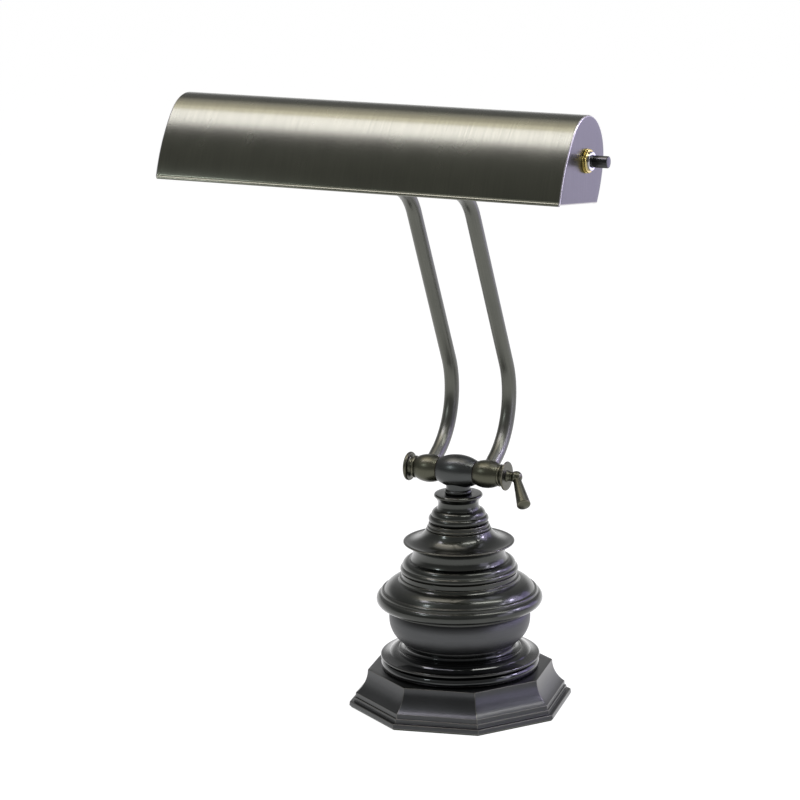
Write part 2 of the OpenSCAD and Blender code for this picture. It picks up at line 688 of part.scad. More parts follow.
module saddle() {
    color("#4d4b47") difference() {
        translate([0, 0, vase_top_z + ring_h]) cylinder(r = saddle_r, h = axis_z - vase_top_z - ring_h - 9);
        barrel_outside(0.05);
        cylinder(r = pipe_r + hole_gap, h = axis_z);
    }
}

module barrel() {
    reach = knuckle_x0 + spigot_l - 0.3;
    pipe_way = pipe_high_z - barrel_low_z + 1.2;
    color("#4a4a46") difference() {
        union() {
            barrel_outside(0);
            turned_x([[0, -reach], [spigot_r, -reach], [spigot_r, reach], [0, reach]]);
        }
        turned_x([[0, -reach - over], [wire_way_r, -reach - over],
            [wire_way_r, reach + over], [0, reach + over]]);
        translate([0, 0, barrel_low_z - over]) cylinder(r = pipe_r + run_gap, h = pipe_way);
        translate([0, 0, barrel_low_z]) cylinder(r = pipe_bore, h = barrel_mid_r);
    }
}

module friction_washers() {
    color("#1c1a18") both_sides() turned_x([[spigot_r + seat_gap, barrel_half + 0.05],
        [knuckle_in_r - 0.6, barrel_half + 0.05], [knuckle_in_r - 0.6, barrel_half + friction_t],
        [spigot_r + seat_gap, barrel_half + friction_t]]);
}

module clamp_rod() {
    color("#a8a8a8") turned_x([[0, -flange_x0 - 4.4], [rod_r, -flange_x0 - 4.4],
        [rod_r, rod_end_x], [0, rod_end_x]]);
}

// Spigot, ring and neck that both the finial and the flange begin with
function bar_end_neck() = concat([[wire_way_r - 0.08, flange_x0 - 3], [wire_way_r - 0.08, flange_x0]],
    bow([neck_ring_r - 0.6, flange_x0], [neck_ring_r - 0.6, flange_x0 + 2.3], 0.6),
    [[neck_ring_r - 1.5, flange_x0 + 2.6], [neck_ring_r - 1.5, flange_x0 + 3]]);

module left_finial() {
    color("#4a463c") mirror([1, 0, 0]) difference() {
        turned_x(concat([[0, flange_x0 - 3]], bar_end_neck(),
            bow([neck_ring_r - 1.7, flange_x0 + 3.1], [flange_r - 1, flange_x1 - 2.2], -0.9),
            bow([flange_r - 0.6, flange_x1 - 2], [flange_r - 0.7, flange_x1 + 0.6], 0.6),
            bow([flange_r - 1.4, flange_x1 + 0.8], [0, flange_x1 + 3], 0.6)));
        turned_x([[0, flange_x0 - 4], [rod_r + run_gap, flange_x0 - 4], [rod_r + run_gap, flange_x0 + 4.6],
            [0, flange_x0 + 4.6]]);
    }
}

module right_flange() {
    color("#4a463c") turned_x(concat([[rod_r + seat_gap, flange_x0 - 3]], bar_end_neck(),
        bow([neck_ring_r - 1.2, flange_x0 + 3.1], [flange_r - 0.9, flange_x1 - 1.7], -0.8),
        bow([flange_r - 0.3, flange_x1 - 1.6], [flange_r - 0.3, flange_x1 - 0.2], 0.3),
        [[flange_r - 0.6, flange_x1], [rod_r + seat_gap, flange_x1]]));
}

// The lever's handle axis, with its own Z pointing from the ball to the handle's end
module at_lever() {
    translate([ball_x, 0, axis_z]) rotate([180 + lever_lean, 0, 0]) rotate([0, lever_splay, 0]) children();
}

module lever_hub() {
    hub_neck = [4, ball_x - 4.2];
    a0 = asin(hub_neck[0] / ball_r);
    color("#454138") difference() {
        turned_x(concat([[0, hub_x0], [5.2, hub_x0]], bow([5, hub_x0 + 0.2], hub_neck, -0.4),
            [for (i = [0 : 24]) let (a = a0 + (180 - a0) * i / 24)
                [ball_r * sin(a), ball_x - ball_r * cos(a)]]));
        turned_x([[0, hub_x0 - over], [rod_r + run_gap, hub_x0 - over], [rod_r + run_gap, rod_end_x + 0.3],
            [0, rod_end_x + 0.3]]);
        at_lever() translate([0, 0, rod_r + 0.4]) cylinder(r = tenon_r + seat_gap, h = ball_r);
    }
}

module lever_handle() {
    rim = 0.9;
    root = rod_r + 0.6;
    color("#45433a") at_lever() difference() {
        rotate_extrude() polygon(concat(
            [[0, root], [tenon_r, root], [tenon_r, root + 0.1], [lever_r0, root + 0.1]],
            bow([lever_r1, lever_l - rim], [lever_r1 - rim, lever_l], 0.25, 6),
            bow([lever_r1 - rim - 0.1, lever_l], [0, lever_l + rim], 0.2)));
        difference() {
            sphere(r = ball_r + 0.03);
            cylinder(r = tenon_r, h = ball_r + over);
        }
    }
}

// ---- arms ----

// A round bar of radius r along the arm's path at x, from start beyond the bar's axis to end_s along
// the last stretch. The straight stretches reach a little into the bends, which are a hair fuller.
module arm_path(x, r, start, end_s) {
    lap = 0.5;
    translate([x, 0, 0]) {
        stretch([0, axis_z] + start * heading(arm_lean0), arm_lean0, arm_s1 - start + lap, r);
        bend(arm_c1, arm_bend1, arm_lean0, -arm_lean1, r + bend_full);
        stretch(arm_p2 - lap * heading(-arm_lean1), -arm_lean1, arm_s2 + 2 * lap, r);
        bend(arm_c2, arm_bend2, -arm_lean1, -arm_lean2, r + bend_full);
        stretch(arm_p4 - lap * heading(-arm_lean2), -arm_lean2, end_s + lap, r);
    }
}

// Straight stretch from a point along a lean
module stretch(p, lean, l, r) {
    translate([0, p[0], p[1]]) rotate([-lean, 0, 0]) cylinder(r = r, h = l);
}

// Bend about a centre, from one lean to the next
module bend(c, bend_r, lean0, lean1, r) {
    translate([0, c[0], c[1]]) rotate([-lean0, 0, 0]) rotate([0, 0, 90]) rotate([90, 0, 0])
        rotate_extrude(angle = lean0 - lean1) translate([bend_r, 0]) circle(r = r);
}

module knuckle() {
    color("#4b483f") difference() {
        turned_x(concat([[0, knuckle_x0]], bow([knuckle_in_r, knuckle_x0], [knuckle_out_r, knuckle_x1],
            knuckle_mid_r - (knuckle_in_r + knuckle_out_r) / 2, 24), [[0, knuckle_x1]]));
        turned_x([[0, knuckle_x0 - over], [spigot_r + run_gap, knuckle_x0 - over],
            [spigot_r + run_gap, knuckle_x0 + spigot_l], [0, knuckle_x0 + spigot_l]]);
        turned_x([[0, knuckle_x0], [wire_way_r, knuckle_x0], [wire_way_r, knuckle_x1 + over],
            [0, knuckle_x1 + over]]);
        translate([arm_x, 0, axis_z]) rotate([-arm_lean0, 0, 0]) {
            cylinder(r = arm_bore, h = arm_s1);
            translate([0, 0, arm_in]) cylinder(r = arm_r + 0.02, h = arm_s1);
        }
    }
}

module left_knuckle() {
    mirror([1, 0, 0]) knuckle();
}

module right_knuckle() {
    knuckle();
}

module arm_tube(x) {
    color("#5a584e") difference() {
        arm_path(x, arm_r, arm_in + 0.05, arm_end_s);
        arm_path(x, arm_bore, arm_in - over, arm_end_s + over);
    }
}

module left_arm() {
    arm_tube(-arm_x);
}

module right_arm() {
    arm_tube(arm_x);
}

// The eyes are turned plugs: a cross barrel with a tenon in the end of each arm tube
module arm_eyes() {
    neck_r = eye_w / 2 - 0.3;
    color("#6a665a") for (s = [-1, 1]) translate([s * arm_x, pivot[0], pivot[1]]) difference() {
        union() {
            translate([-eye_w / 2, 0, 0]) rotate([0, 90, 0]) cylinder(r = eye_r, h = eye_w);
            rotate([180 + arm_lean2, 0, 0]) {
                cylinder(r = neck_r, h = eye_neck - 0.05);
                cylinder(r = arm_bore - seat_gap / 2, h = eye_neck + eye_plug);
            }
        }
        translate([-eye_w, 0, 0]) rotate([0, 90, 0]) cylinder(r = pin_r + run_gap, h = 2 * eye_w);
        rotate([180 + arm_lean2, 0, 0]) cylinder(r = eye_bore, h = eye_neck + eye_plug + over);
    }
}

// ---- tilt joint, in the shade's frame ----

module pivot_pins() {
    color("#b9a66a") in_shade() for (s = [-1, 1]) difference() {
        rod_x(pivot_u, pivot_n, pin_r, s * arm_x - pin_half, s * arm_x + pin_half);
        rod_x(pivot_u, pivot_n, pin_bore, s * arm_x - pin_half - over, s * arm_x + pin_half + over);
        translate([s * arm_x - eye_bore, pivot_u, pivot_n - eye_bore])
            cube([2 * eye_bore, pin_r + over, 2 * eye_bore]);
    }
}

module pivot_nuts() {
    color("#b9a66a") in_shade() for (s = [-1, 1], e = [-1, 1])
        translate([s * arm_x + e * (lug_gap + bracket_t + pin_nut_h / 2 + 0.05), pivot_u, pivot_n])
        rotate([0, 90, 0]) difference() {
            translate([0, 0, -pin_nut_h / 2]) hex_prism(pin_nut_af, pin_nut_h);
            cylinder(r = pin_r + run_gap, h = 2 * pin_nut_h, center = true);
        }
}

module pivot_washers() {
    color("#d8d4c8") in_shade() for (s = [-1, 1], e = [-1, 1])
        translate([s * arm_x + e * (lug_gap - pivot_washer_t / 2), pivot_u, pivot_n])
        rotate([0, 90, 0]) difference() {
            cylinder(r = eye_r - 1, h = pivot_washer_t, center = true);
            cylinder(r = pin_r + seat_gap, h = 2 * pivot_washer_t, center = true);
        }
}

// ---- shade ----

// Outline of the sheet with its two hems: the outside, the back hem, the inside and the front hem
function above(points, n) = [for (p = points) if (p[1] > n) p];
module sheet_outline() {
    inside = above(section(sheet_t), sheet_t + 0.3);
    back = [[back_edge[0] - hem, back_edge[1]], [back_edge[0] - hem, back_edge[1] + sheet_t],
        [back_edge[0] - sheet_t - 0.05, back_edge[1] + sheet_t]];
    front = [[sheet_t + 0.05, sheet_t], [hem, sheet_t], [hem, 0]];
    polygon(concat(section(0), back, [for (i = [len(inside) - 1 : -1 : 0]) inside[i]], front));
}

module shade_shell() {
    color("#5a5648") in_shade() difference() {
        along_x(-half_l, half_l) sheet_outline();
        for (s = [-1, 1]) translate([s * arm_x - slot_w / 2, pivot_u + 5, -5])
            cube([slot_w, back_edge[0], slot_h + 5]);
        at_rivets() translate([0, 0, -rivet_depth]) cylinder(r = rivet_r + 0.05, h = 2 * rivet_depth);
    }
}

// An end cap: a flat face with a rim that lies inside the shell
module end_cap() {
    clear = sheet_t + 0.05;
    floor_n = sheet_t + max(0, back_edge[1]) + 0.1;
    difference() {
        along_x(cap_x1 - cap_rim, cap_x1) intersection() {
            polygon(section(clear));
            translate([-5, floor_n]) square(past_shade);
        }
        along_x(cap_x1 - cap_rim - over, cap_x0) intersection() {
            polygon(section(clear + sheet_t));
            translate([-5, floor_n + sheet_t]) square(past_shade);
        }
    }
}

module left_cap() {
    color("#6d6a72") in_shade() mirror([1, 0, 0]) end_cap();
}

module right_cap() {
    color("#6d6a72") in_shade() difference() {
        end_cap();
        rod_x(switch_u, switch_n, switch_bush_r + hole_gap, cap_x0 - over, cap_x1 + over);
    }
}

// A strip along the inside of the back with four lugs that carry the tilt pins
module shade_bracket() {
    color("#9a9a94") in_shade() difference() {
        union() {
            along_x(strip_x0, strip_x1) translate([strip_u0, strip_n0])
                square([bracket_t, strip_n1 - strip_n0]);
            for (s = [-1, 1], e = [-1, 1]) {
                x = s * arm_x + e * (lug_gap + bracket_t / 2);
                along_x(x - bracket_t / 2, x + bracket_t / 2) union() {
                    translate([pivot_u, pivot_n]) circle(r = eye_r);
                    polygon([[pivot_u - eye_r * sin(45), pivot_n + eye_r * cos(45)],
                        [pivot_u + eye_r * sin(45), pivot_n - eye_r * cos(45)],
                        [strip_u0 + 0.01, strip_n0], [strip_u0 + 0.01, strip_n1]]);
                }
            }
        }
        for (s = [-1, 1]) rod_x(pivot_u, pivot_n, pin_r + seat_gap, s * arm_x - 12, s * arm_x + 12);
        at_rivets() translate([0, 0, -rivet_depth - over])
            cylinder(r = rivet_r + 0.05, h = 2 * rivet_depth);
        translate([lamp_screw_x, strip_u0 - over, strip_n]) rotate([-90, 0, 0]) cylinder(r = 1.55, h = 9);
    }
}

module bracket_rivets() {
    color("#6a6456") in_shade() at_rivets() {
        translate([0, 0, -rivet_depth - 0.1]) cylinder(r = rivet_r, h = rivet_depth + 0.5);
        translate([0, 0, -rivet_depth - 1.3]) cylinder(r = rivet_head_r, h = 1.3);
        translate([0, 0, 0.05]) rotate_extrude()
            polygon(concat([[0, 0], [rivet_r + 1.4, 0]], bow([rivet_r + 1.4, 0.2], [0, 1.3], 0.3)));
    }
}

module lamp_bracket() {
    foot_n0 = strip_n0 + 0.5;
    foot_n1 = strip_n1 - 0.5;
    color("#9a9a94") in_shade() difference() {
        union() {
            along_x(bracket_x, bracket_x + bracket_t) translate([lamp_u - 9, foot_n0])
                square([strip_u0 - lamp_u + 9 - 0.05, foot_n1 - foot_n0]);
            along_x(bracket_x, bracket_x + 15) translate([strip_u0 - bracket_t - 0.05, foot_n0])
                square([bracket_t, foot_n1 - foot_n0]);
        }
        rod_x(lamp_u, lamp_n, 2.1, bracket_x - over, bracket_x + 4);
        translate([lamp_screw_x, 0, strip_n]) rotate([-90, 0, 0]) cylinder(r = 1.7, h = strip_u1);
    }
}

module lamp_bracket_screw() {
    color("#a8a8a8") in_shade() translate([lamp_screw_x, strip_u0 - bracket_t - 0.1, strip_n])
        rotate([-90, 0, 0]) union() {
            cylinder(r = 1.5, h = 2 * bracket_t + 0.1);
            translate([0, 0, -1.8]) cylinder(r = 2.8, h = 1.8);
        }
}

// ---- lamp, holder and switch, in the shade's frame ----

module lampholder() {
    color("#1d1b1a") in_shade() difference() {
        union() {
            rod_x(lamp_u, lamp_n, holder_r, holder_x0, holder_x0 + holder_rim);
            rod_x(lamp_u, lamp_n, holder_r - 1.2, holder_x0 + holder_rim - 1, holder_x1);
        }
        rod_x(lamp_u, lamp_n, base_r + 0.8, holder_x0 - over, holder_x1 - holder_floor);
        rod_x(lamp_u, lamp_n, bulb_r + 0.3, holder_x0 - over, bulb_x1 + 0.3);
        rod_x(lamp_u, lamp_n, 1.95, holder_x1 - 6, holder_x1 + over);
    }
}

module screw_shell() {
    color("#c8a94e") in_shade() difference() {
        rod_x(lamp_u, lamp_n, base_r + 0.7, bulb_x1 + 1.5, holder_x1 - holder_floor - 0.1);
        rod_x(lamp_u, lamp_n, base_r + 0.2, bulb_x1, holder_x1 - holder_floor + over);
    }
}

module centre_contact() {
    color("#c8a94e") in_shade() rod_x(lamp_u, lamp_n, 3, tip_x + 0.1, holder_x1 - holder_floor);
}

module socket_screw() {
    color("#a8a8a8") in_shade() union() {
        rod_x(lamp_u, lamp_n, 1.9, holder_x1 - 5.6, bracket_x + bracket_t + 0.05);
        rod_x(lamp_u, lamp_n, 3.6, bracket_x + bracket_t + 0.05, bracket_x + bracket_t + 2.4);
    }
}

// Outline of the bulb made smaller by w all round, open where the base takes it
function bulb_outline(w) = concat([for (i = [0 : 12]) let (a = -90 + 90 * i / 12)
    [(bulb_r - w) * cos(a), bulb_x0 + bulb_r + (bulb_r - w) * sin(a)]],
    bow([bulb_r - w, bulb_x1 - 6 - w], [base_r - 0.6 - w, bulb_x1], 0.8), [[0, bulb_x1]]);
module bulb_glass() {
    color("#f4f0e4", 0.9) in_shade() translate([0, lamp_u, lamp_n]) rotate([0, 90, 0]) difference() {
        rotate_extrude() polygon(bulb_outline(0));
        rotate_extrude() polygon(bulb_outline(bulb_wall));
        translate([0, 0, bulb_x1 - over]) cylinder(r = base_r - 0.6 - bulb_wall, h = 2 * over);
    }
}

module bulb_base() {
    shoulder = bulb_x1 + base_l;
    color("#c9c9c4") in_shade() translate([0, lamp_u, lamp_n]) rotate([0, 90, 0]) difference() {
        rotate_extrude() polygon([[0, bulb_x1 + 0.05], [base_r, bulb_x1 + 0.05], [base_r, shoulder - 4],
            [base_r - 4.5, shoulder], [4.6, shoulder + 0.4], [4.6, tip_x - 1], [3.4, tip_x], [0, tip_x]]);
        translate([0, 0, bulb_x1 - over]) cylinder(r = base_r - 1, h = base_l - 5);
    }
}

module switch_body() {
    color("#1a1a1a") in_shade() difference() {
        rod_x(switch_u, switch_n, switch_body_r, switch_x0, cap_x0 - 0.1);
        rod_x(switch_u, switch_n, button_r + 0.6, button_x0 - button_travel - 1, cap_x0);
    }
}

module switch_bushing() {
    color("#d8d8dc") in_shade() difference() {
        union() {
            rod_x(switch_u, switch_n, switch_bush_r, cap_x0 - 0.05, bush_x1 - 0.4);
            rod_x(switch_u, switch_n, switch_bush_r - 0.4, bush_x1 - 0.5, bush_x1);
        }
        rod_x(switch_u, switch_n, button_r + run_gap, cap_x0 - over, bush_x1 + over);
    }
}

// Outline of a knurled ring: n teeth of depth d
function knurl(r, n, d) = [for (i = [0 : 2 * n - 1]) let (a = 180 * i / n, q = i % 2 == 0 ? r : r - d)
    [q * cos(a), q * sin(a)]];
module switch_nut() {
    teeth = 44;
    groove = 0.9;
    rim = (ring_nut_t - groove) / 2;
    x0 = half_l - cap_set + 0.05;
    color("#c9a63f") in_shade() translate([x0, switch_u, switch_n]) rotate([0, 90, 0]) difference() {
        union() {
            linear_extrude(rim) polygon(knurl(ring_nut_r, teeth, 0.35));
            translate([0, 0, rim + groove]) linear_extrude(rim)
                polygon(knurl(ring_nut_r - 0.3, teeth, 0.35));
            cylinder(r = ring_nut_r - 1.1, h = ring_nut_t);
        }
        translate([0, 0, -over]) cylinder(r = switch_bush_r + run_gap, h = ring_nut_t + 2 * over);
    }
}

module push_button() {
    edge = 0.8;
    color("#0c0c0d") in_shade() translate([button_x0, switch_u, switch_n])
        rotate([0, 90, 0]) rotate_extrude() polygon(concat([[0, 0], [button_r, 0]],
            [for (i = [0 : 8]) let (a = 90 * i / 8)
                [button_r - edge + edge * cos(a), button_x1 - button_x0 - edge + edge * sin(a)]],
            [[0, button_x1 - button_x0]]));
}

module switch_lead() {
    color("#111111") in_shade() wire(live_route, wire_r);
}

module return_lead() {
    color("#111111") in_shade() wire(return_route, wire_r);
}

module neutral_lead() {
    color("#e8e4d8") in_shade() wire(neutral_route, wire_r);
}

foot();
felt_pad();
ballast_weight();
cord_bushing();
pedestal();
bowl();
cover();
flared_collar();
top_vase();
centre_pipe();
pipe_washer();
pipe_nut();
collar_ring();
saddle();
barrel();
friction_washers();
clamp_rod();
left_finial();
right_flange();
lever_hub();
lever_handle();
left_knuckle();
right_knuckle();
left_arm();
right_arm();
arm_eyes();
pivot_pins();
pivot_nuts();
pivot_washers();
shade_shell();
left_cap();
right_cap();
shade_bracket();
bracket_rivets();
lamp_bracket();
lamp_bracket_screw();
lampholder();
screw_shell();
centre_contact();
socket_screw();
bulb_glass();
bulb_base();
switch_body();
switch_bushing();
switch_nut();
switch_lead();
return_lead();
neutral_lead();
push_button();
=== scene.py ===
# %% [markdown]
# # A piano lamp in antique bronze
# The lamp has a long trough shade on two bent tubes. A clamp bar holds the tubes, and below it stands
# a stack of turned castings on an eight-sided foot. The CAD model already holds every part at its
# real size. This script dresses it: what shows gets a finer surface with softened edges, and every
# part gets the finish that it has on the real lamp.

# %% Load the CAD model
import json
import math

import bmesh
import bpy
import numpy as np
from mathutils import Matrix, Vector

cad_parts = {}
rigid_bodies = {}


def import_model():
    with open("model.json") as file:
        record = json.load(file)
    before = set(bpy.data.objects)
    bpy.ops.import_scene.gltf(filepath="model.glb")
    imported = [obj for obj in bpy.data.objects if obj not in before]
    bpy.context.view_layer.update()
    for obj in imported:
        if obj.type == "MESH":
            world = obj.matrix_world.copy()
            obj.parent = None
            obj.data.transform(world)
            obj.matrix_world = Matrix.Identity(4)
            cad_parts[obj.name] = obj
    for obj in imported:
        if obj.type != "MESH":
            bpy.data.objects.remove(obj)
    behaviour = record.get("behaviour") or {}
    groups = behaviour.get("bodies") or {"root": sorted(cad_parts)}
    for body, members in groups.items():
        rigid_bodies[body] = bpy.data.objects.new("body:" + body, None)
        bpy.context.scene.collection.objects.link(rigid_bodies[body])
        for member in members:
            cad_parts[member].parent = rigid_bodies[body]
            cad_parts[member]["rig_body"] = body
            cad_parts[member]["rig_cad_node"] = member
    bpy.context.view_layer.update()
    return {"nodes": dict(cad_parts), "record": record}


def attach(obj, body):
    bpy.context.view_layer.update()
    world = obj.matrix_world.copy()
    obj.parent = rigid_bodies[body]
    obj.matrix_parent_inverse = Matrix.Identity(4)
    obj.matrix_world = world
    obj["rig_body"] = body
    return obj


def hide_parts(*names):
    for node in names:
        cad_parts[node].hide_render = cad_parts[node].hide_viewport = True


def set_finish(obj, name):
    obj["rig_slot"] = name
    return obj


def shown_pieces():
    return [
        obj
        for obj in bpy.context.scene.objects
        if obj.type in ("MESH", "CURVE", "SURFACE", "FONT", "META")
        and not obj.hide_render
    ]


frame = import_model()
slot_of = {s["node"]: s["material_slot"] for s in frame["record"]["subparts"]}
body_of = {node: o["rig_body"] for node, o in frame["nodes"].items()}

# %% [markdown]
# ## The camera
# A camera that was far away, with a long lens, gives the straight look of a catalogue picture. Its
# place is worked out from the lamp itself: the shade's long edges, the upright column and the
# ellipses of the turned rims only line up from one spot. It stands in front, 25.5 degrees towards the
# lamp's right end, and looks 13.7 degrees down.

# %% Camera
TURN, DOWN, ROLL = math.radians(25.46), math.radians(13.658), math.radians(-0.898)
ahead = Vector((-math.sin(TURN) * math.cos(DOWN), math.cos(TURN) * math.cos(DOWN), -math.sin(DOWN)))
level = Vector((math.cos(TURN), math.sin(TURN), 0))
right = math.cos(ROLL) * level + math.sin(ROLL) * level.cross(ahead)
up = right.cross(ahead)
camera = bpy.data.objects.new("camera", bpy.data.cameras.new("camera"))
camera.data.lens = 160.76
camera.data.clip_end = 60
frame_axes = Matrix((right, up, -ahead)).transposed().to_4x4()
camera.matrix_world = Matrix.Translation((1.2246, -2.6851, 0.9861)) @ frame_axes
bpy.context.scene.collection.objects.link(camera)
bpy.context.scene.camera = camera
print("camera", tuple(round(c, 4) for c in camera.matrix_world.translation), "lens", camera.data.lens)

# %% [markdown]
# ## Outlines
# A turned part is one outline carried round an axis, as the turner's tool cut it. The outline here is
# a closed loop of (radius, height) points in millimetres that runs up the outside and back down the
# bore. Two helpers draw it: one for arcs, and one that breaks every sharp corner by a fraction of a
# millimetre. No real edge is perfectly sharp, and this small round is what catches the light.

# %% Arcs and softened corners
def arc(start, end, rise, count=16):
    """Points on the circle through start and end whose middle stands `rise` outside the straight line.
    The circle's radius is (half the line squared + rise squared) / twice the rise."""
    p, q = np.array(start, float), np.array(end, float)
    chord = np.linalg.norm(q - p)
    along = (q - p) / chord
    out = np.array([along[1], -along[0]])
    radius = (chord ** 2 / 4 + rise ** 2) / (2 * rise)
    half = 2 * math.atan(2 * rise / chord)
    a = np.linspace(-half, half, count)[:, None]
    return (p + q) / 2 + out * (rise - radius) + radius * (out * np.cos(a) + along * np.sin(a))


def soften(loop, radius=0.35, steps=5, ring=True):
    """Rounds the corners of an outline. Each corner becomes a small parabola: it starts and ends
    radius x tan(half the turn) away from the corner, but never more than 0.45 of a side."""
    before, after = np.roll(loop, 1, 0) - loop, np.roll(loop, -1, 0) - loop
    length = [np.maximum(np.linalg.norm(d, axis=1, keepdims=True), 1e-9) for d in (before, after)]
    u, v = before / length[0], after / length[1]
    turn = np.pi - np.arccos(np.clip((u * v).sum(1), -1, 1))
    corner = turn > math.radians(14)
    if not ring:
        corner[[0, -1]] = False
    cut = np.minimum(radius * np.tan(np.minimum(turn, 3.0) / 2)[:, None], 0.45 * np.minimum(*length))
    t = np.linspace(0, 1, steps)[None, :, None]
    curve = loop[:, None] + (1 - t) ** 2 * (u * cut)[:, None] + t ** 2 * (v * cut)[:, None]
    curve = np.where(corner[:, None, None], curve, loop[:, None])
    return curve[corner[:, None] | (np.arange(steps) == 0)]


# %% [markdown]
# ## From a grid of points to a piece
# Every surface below is a grid: one direction along an outline, the other round an axis or along a
# path. The same helper turns each grid into a mesh. It also stores, for each corner of each face,
# where that corner lies along and across the marks that the maker's tool left, in metres. The
# finishes read this "way" map, so brushed lines run the right way on every piece. A second attribute
# marks the convex edges, where a hand-rubbed finish wears lighter, and the caps' rims, where a
# highlight is painted.

# %% Pieces
MM = 0.001


def clean(mesh, crease):
    """Merges doubled points, which closes seams and poles, and keeps edges sharper than crease crisp."""
    work = bmesh.new()
    work.from_mesh(mesh)
    bmesh.ops.remove_doubles(work, verts=work.verts, dist=2e-7)
    work.to_mesh(mesh)
    work.free()
    mesh.shade_smooth()
    mesh.set_sharp_from_angle(angle=math.radians(crease))


def piece(name, grid, way, nodes, ring_i=True, ring_j=True, edge=None, keep=None, crease=42):
    """Makes a grid (rows, columns, 3) of points in millimetres into a mesh that stands for CAD nodes.
    way (rows + 1, columns + 1, 2) is the place along and across the maker's marks, in millimetres.
    edge, from 0 to 1 for each point, says how worn it is, and on the caps' rims where a highlight is painted."""
    rows, columns = grid.shape[:2]
    i, j = np.indices((rows if ring_i else rows - 1, columns if ring_j else columns - 1))
    if keep is not None:
        i, j = i[keep], j[keep]
    i, j = i.ravel(), j.ravel()
    corners = [(i, j), (i, j + 1), (i + 1, j + 1), (i + 1, j)]
    faces = np.stack([(a % rows) * columns + b % columns for a, b in corners], 1)
    mesh = bpy.data.meshes.new(name)
    mesh.from_pydata((grid.reshape(-1, 3) * MM).tolist(), [], faces.tolist())
    layer = mesh.uv_layers.new(name="way")
    marks = np.stack([way[a, b] for a, b in corners], 1) * MM
    layer.data.foreach_set("uv", marks.astype(np.float32).ravel())
    if edge is not None:
        worn = mesh.attributes.new("edge", "FLOAT", "POINT")
        worn.data.foreach_set("value", np.broadcast_to(edge, (rows, columns)).astype(np.float32).ravel())
    clean(mesh, crease)
    made = bpy.data.objects.new(name, mesh)
    bpy.context.scene.collection.objects.link(made)
    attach(made, body_of[nodes[0]])
    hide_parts(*nodes)
    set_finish(made, slot_of[nodes[0]])
    print(f"{name}: {len(mesh.polygons)} faces")
    return made


def bake(made, crease=42):
    """Applies the modifiers of a piece, so that what is rendered is its mesh."""
    graph = bpy.context.evaluated_depsgraph_get()
    mesh = bpy.data.meshes.new_from_object(made.evaluated_get(graph))
    made.modifiers.clear()
    made.data = mesh
    clean(mesh, crease)


# %% [markdown]
# ## Turned pieces
# The outline is carried round its axis. A Screw modifier could do that too, but it would not say where
# each point lies along the tool's marks, nor give the switch's ring nut its teeth. So all points are
# worked out at once, as arrays. The seam goes to the back, where nobody looks. How convex each point
# of the outline is comes from the turn between its two sides, divided by their length.

# %% Turning
def circle(count):
    """Angles of even steps round a circle: k x full turn / count."""
    return np.arange(count) * 2 * math.pi / count


def walked(line, closed=False):
    """Distance walked along a line to each of its points, the sum of the steps' lengths up to there. A
    closed line also has the step back to its first point."""
    steps = np.diff(line, axis=0, append=line[:1]) if closed else np.diff(line, axis=0)
    return np.concatenate([[0], np.cumsum(np.linalg.norm(steps, axis=1))])


def way_map(across, along):
    """One (along, across) pair for each grid corner, from the distances of the rows and columns."""
    return np.stack(np.broadcast_arrays(along[None, :], across[:, None]), -1)


def convexity(loop):
    """How tightly an outline turns outwards, as a share from 0 to 1: the turn at a point over the mean
    length of its two sides, in radians per millimetre, less 0.25 and divided by 1.5."""
    before, after = loop - np.roll(loop, 1, 0), np.roll(loop, -1, 0) - loop
    turn = np.arctan2(before[:, 0] * after[:, 1] - before[:, 1] * after[:, 0], (before * after).sum(1))
    length = (np.linalg.norm(before, axis=1) + np.linalg.norm(after, axis=1)) / 2
    return np.clip((turn / np.maximum(length, 0.02) - 0.25) / 1.5, 0, 1)


def turned(name, loop, place, nodes, count=192, soft=0.35, ring=True, teeth=None):
    """Carries an outline of (radius, height) round the z axis, then `place` puts it on the lamp.
    A point is (r cos a, r sin a, h), and teeth(a, row) is taken off the radius where given."""
    loop = soften(np.array(loop, float), soft, ring=ring)
    a = math.pi / 2 + circle(count)
    r = np.repeat(loop[:, :1], count, 1)
    if teeth is not None:
        r = r - teeth(a[None, :], loop)
    grid = np.stack([r * np.cos(a), r * np.sin(a), np.repeat(loop[:, 1:], count, 1)], -1)
    grid = grid @ np.array(place[0], float) + np.array(place[1], float)
    around = np.linspace(0, 2 * math.pi * loop[:, 0].max(), count + 1)
    way = way_map(walked(loop, closed=True), around)
    return piece(name, grid, way, nodes, ring_i=ring, edge=convexity(loop)[:, None])


SEAT = {"pedestal": 33, "bowl": 57, "cover": 86.4, "flared_collar": 117.4, "top_vase": 161.2,
        "collar_ring": 186.6}


def on_column(node, *parts, **settings):
    """A turned piece of the column, from the parts of its outline, its own zero at the height of its seat."""
    return turned(node + "_turned", run(*parts), (np.eye(3), (0, 0, SEAT[node])), [node], **settings)


def run(*parts):
    """Joins points and arcs into one outline."""
    return np.vstack([np.atleast_2d(np.array(p, float)) for p in parts])


# %% [markdown]
# ### The column
# Five hollow castings are threaded on a pipe. Each was cast in zinc, turned, plated and then toned
# dark. Their shapes are classic mouldings: beads, coves and ogees with thin discs between. They could
# be modelled ring by ring, but an outline of arcs reads like the turner's own template, and a wrong
# radius is one number to change. The pedestal's slope is a little flatter here than in the CAD solid,
# with a longer neck above it, as on the real lamp.

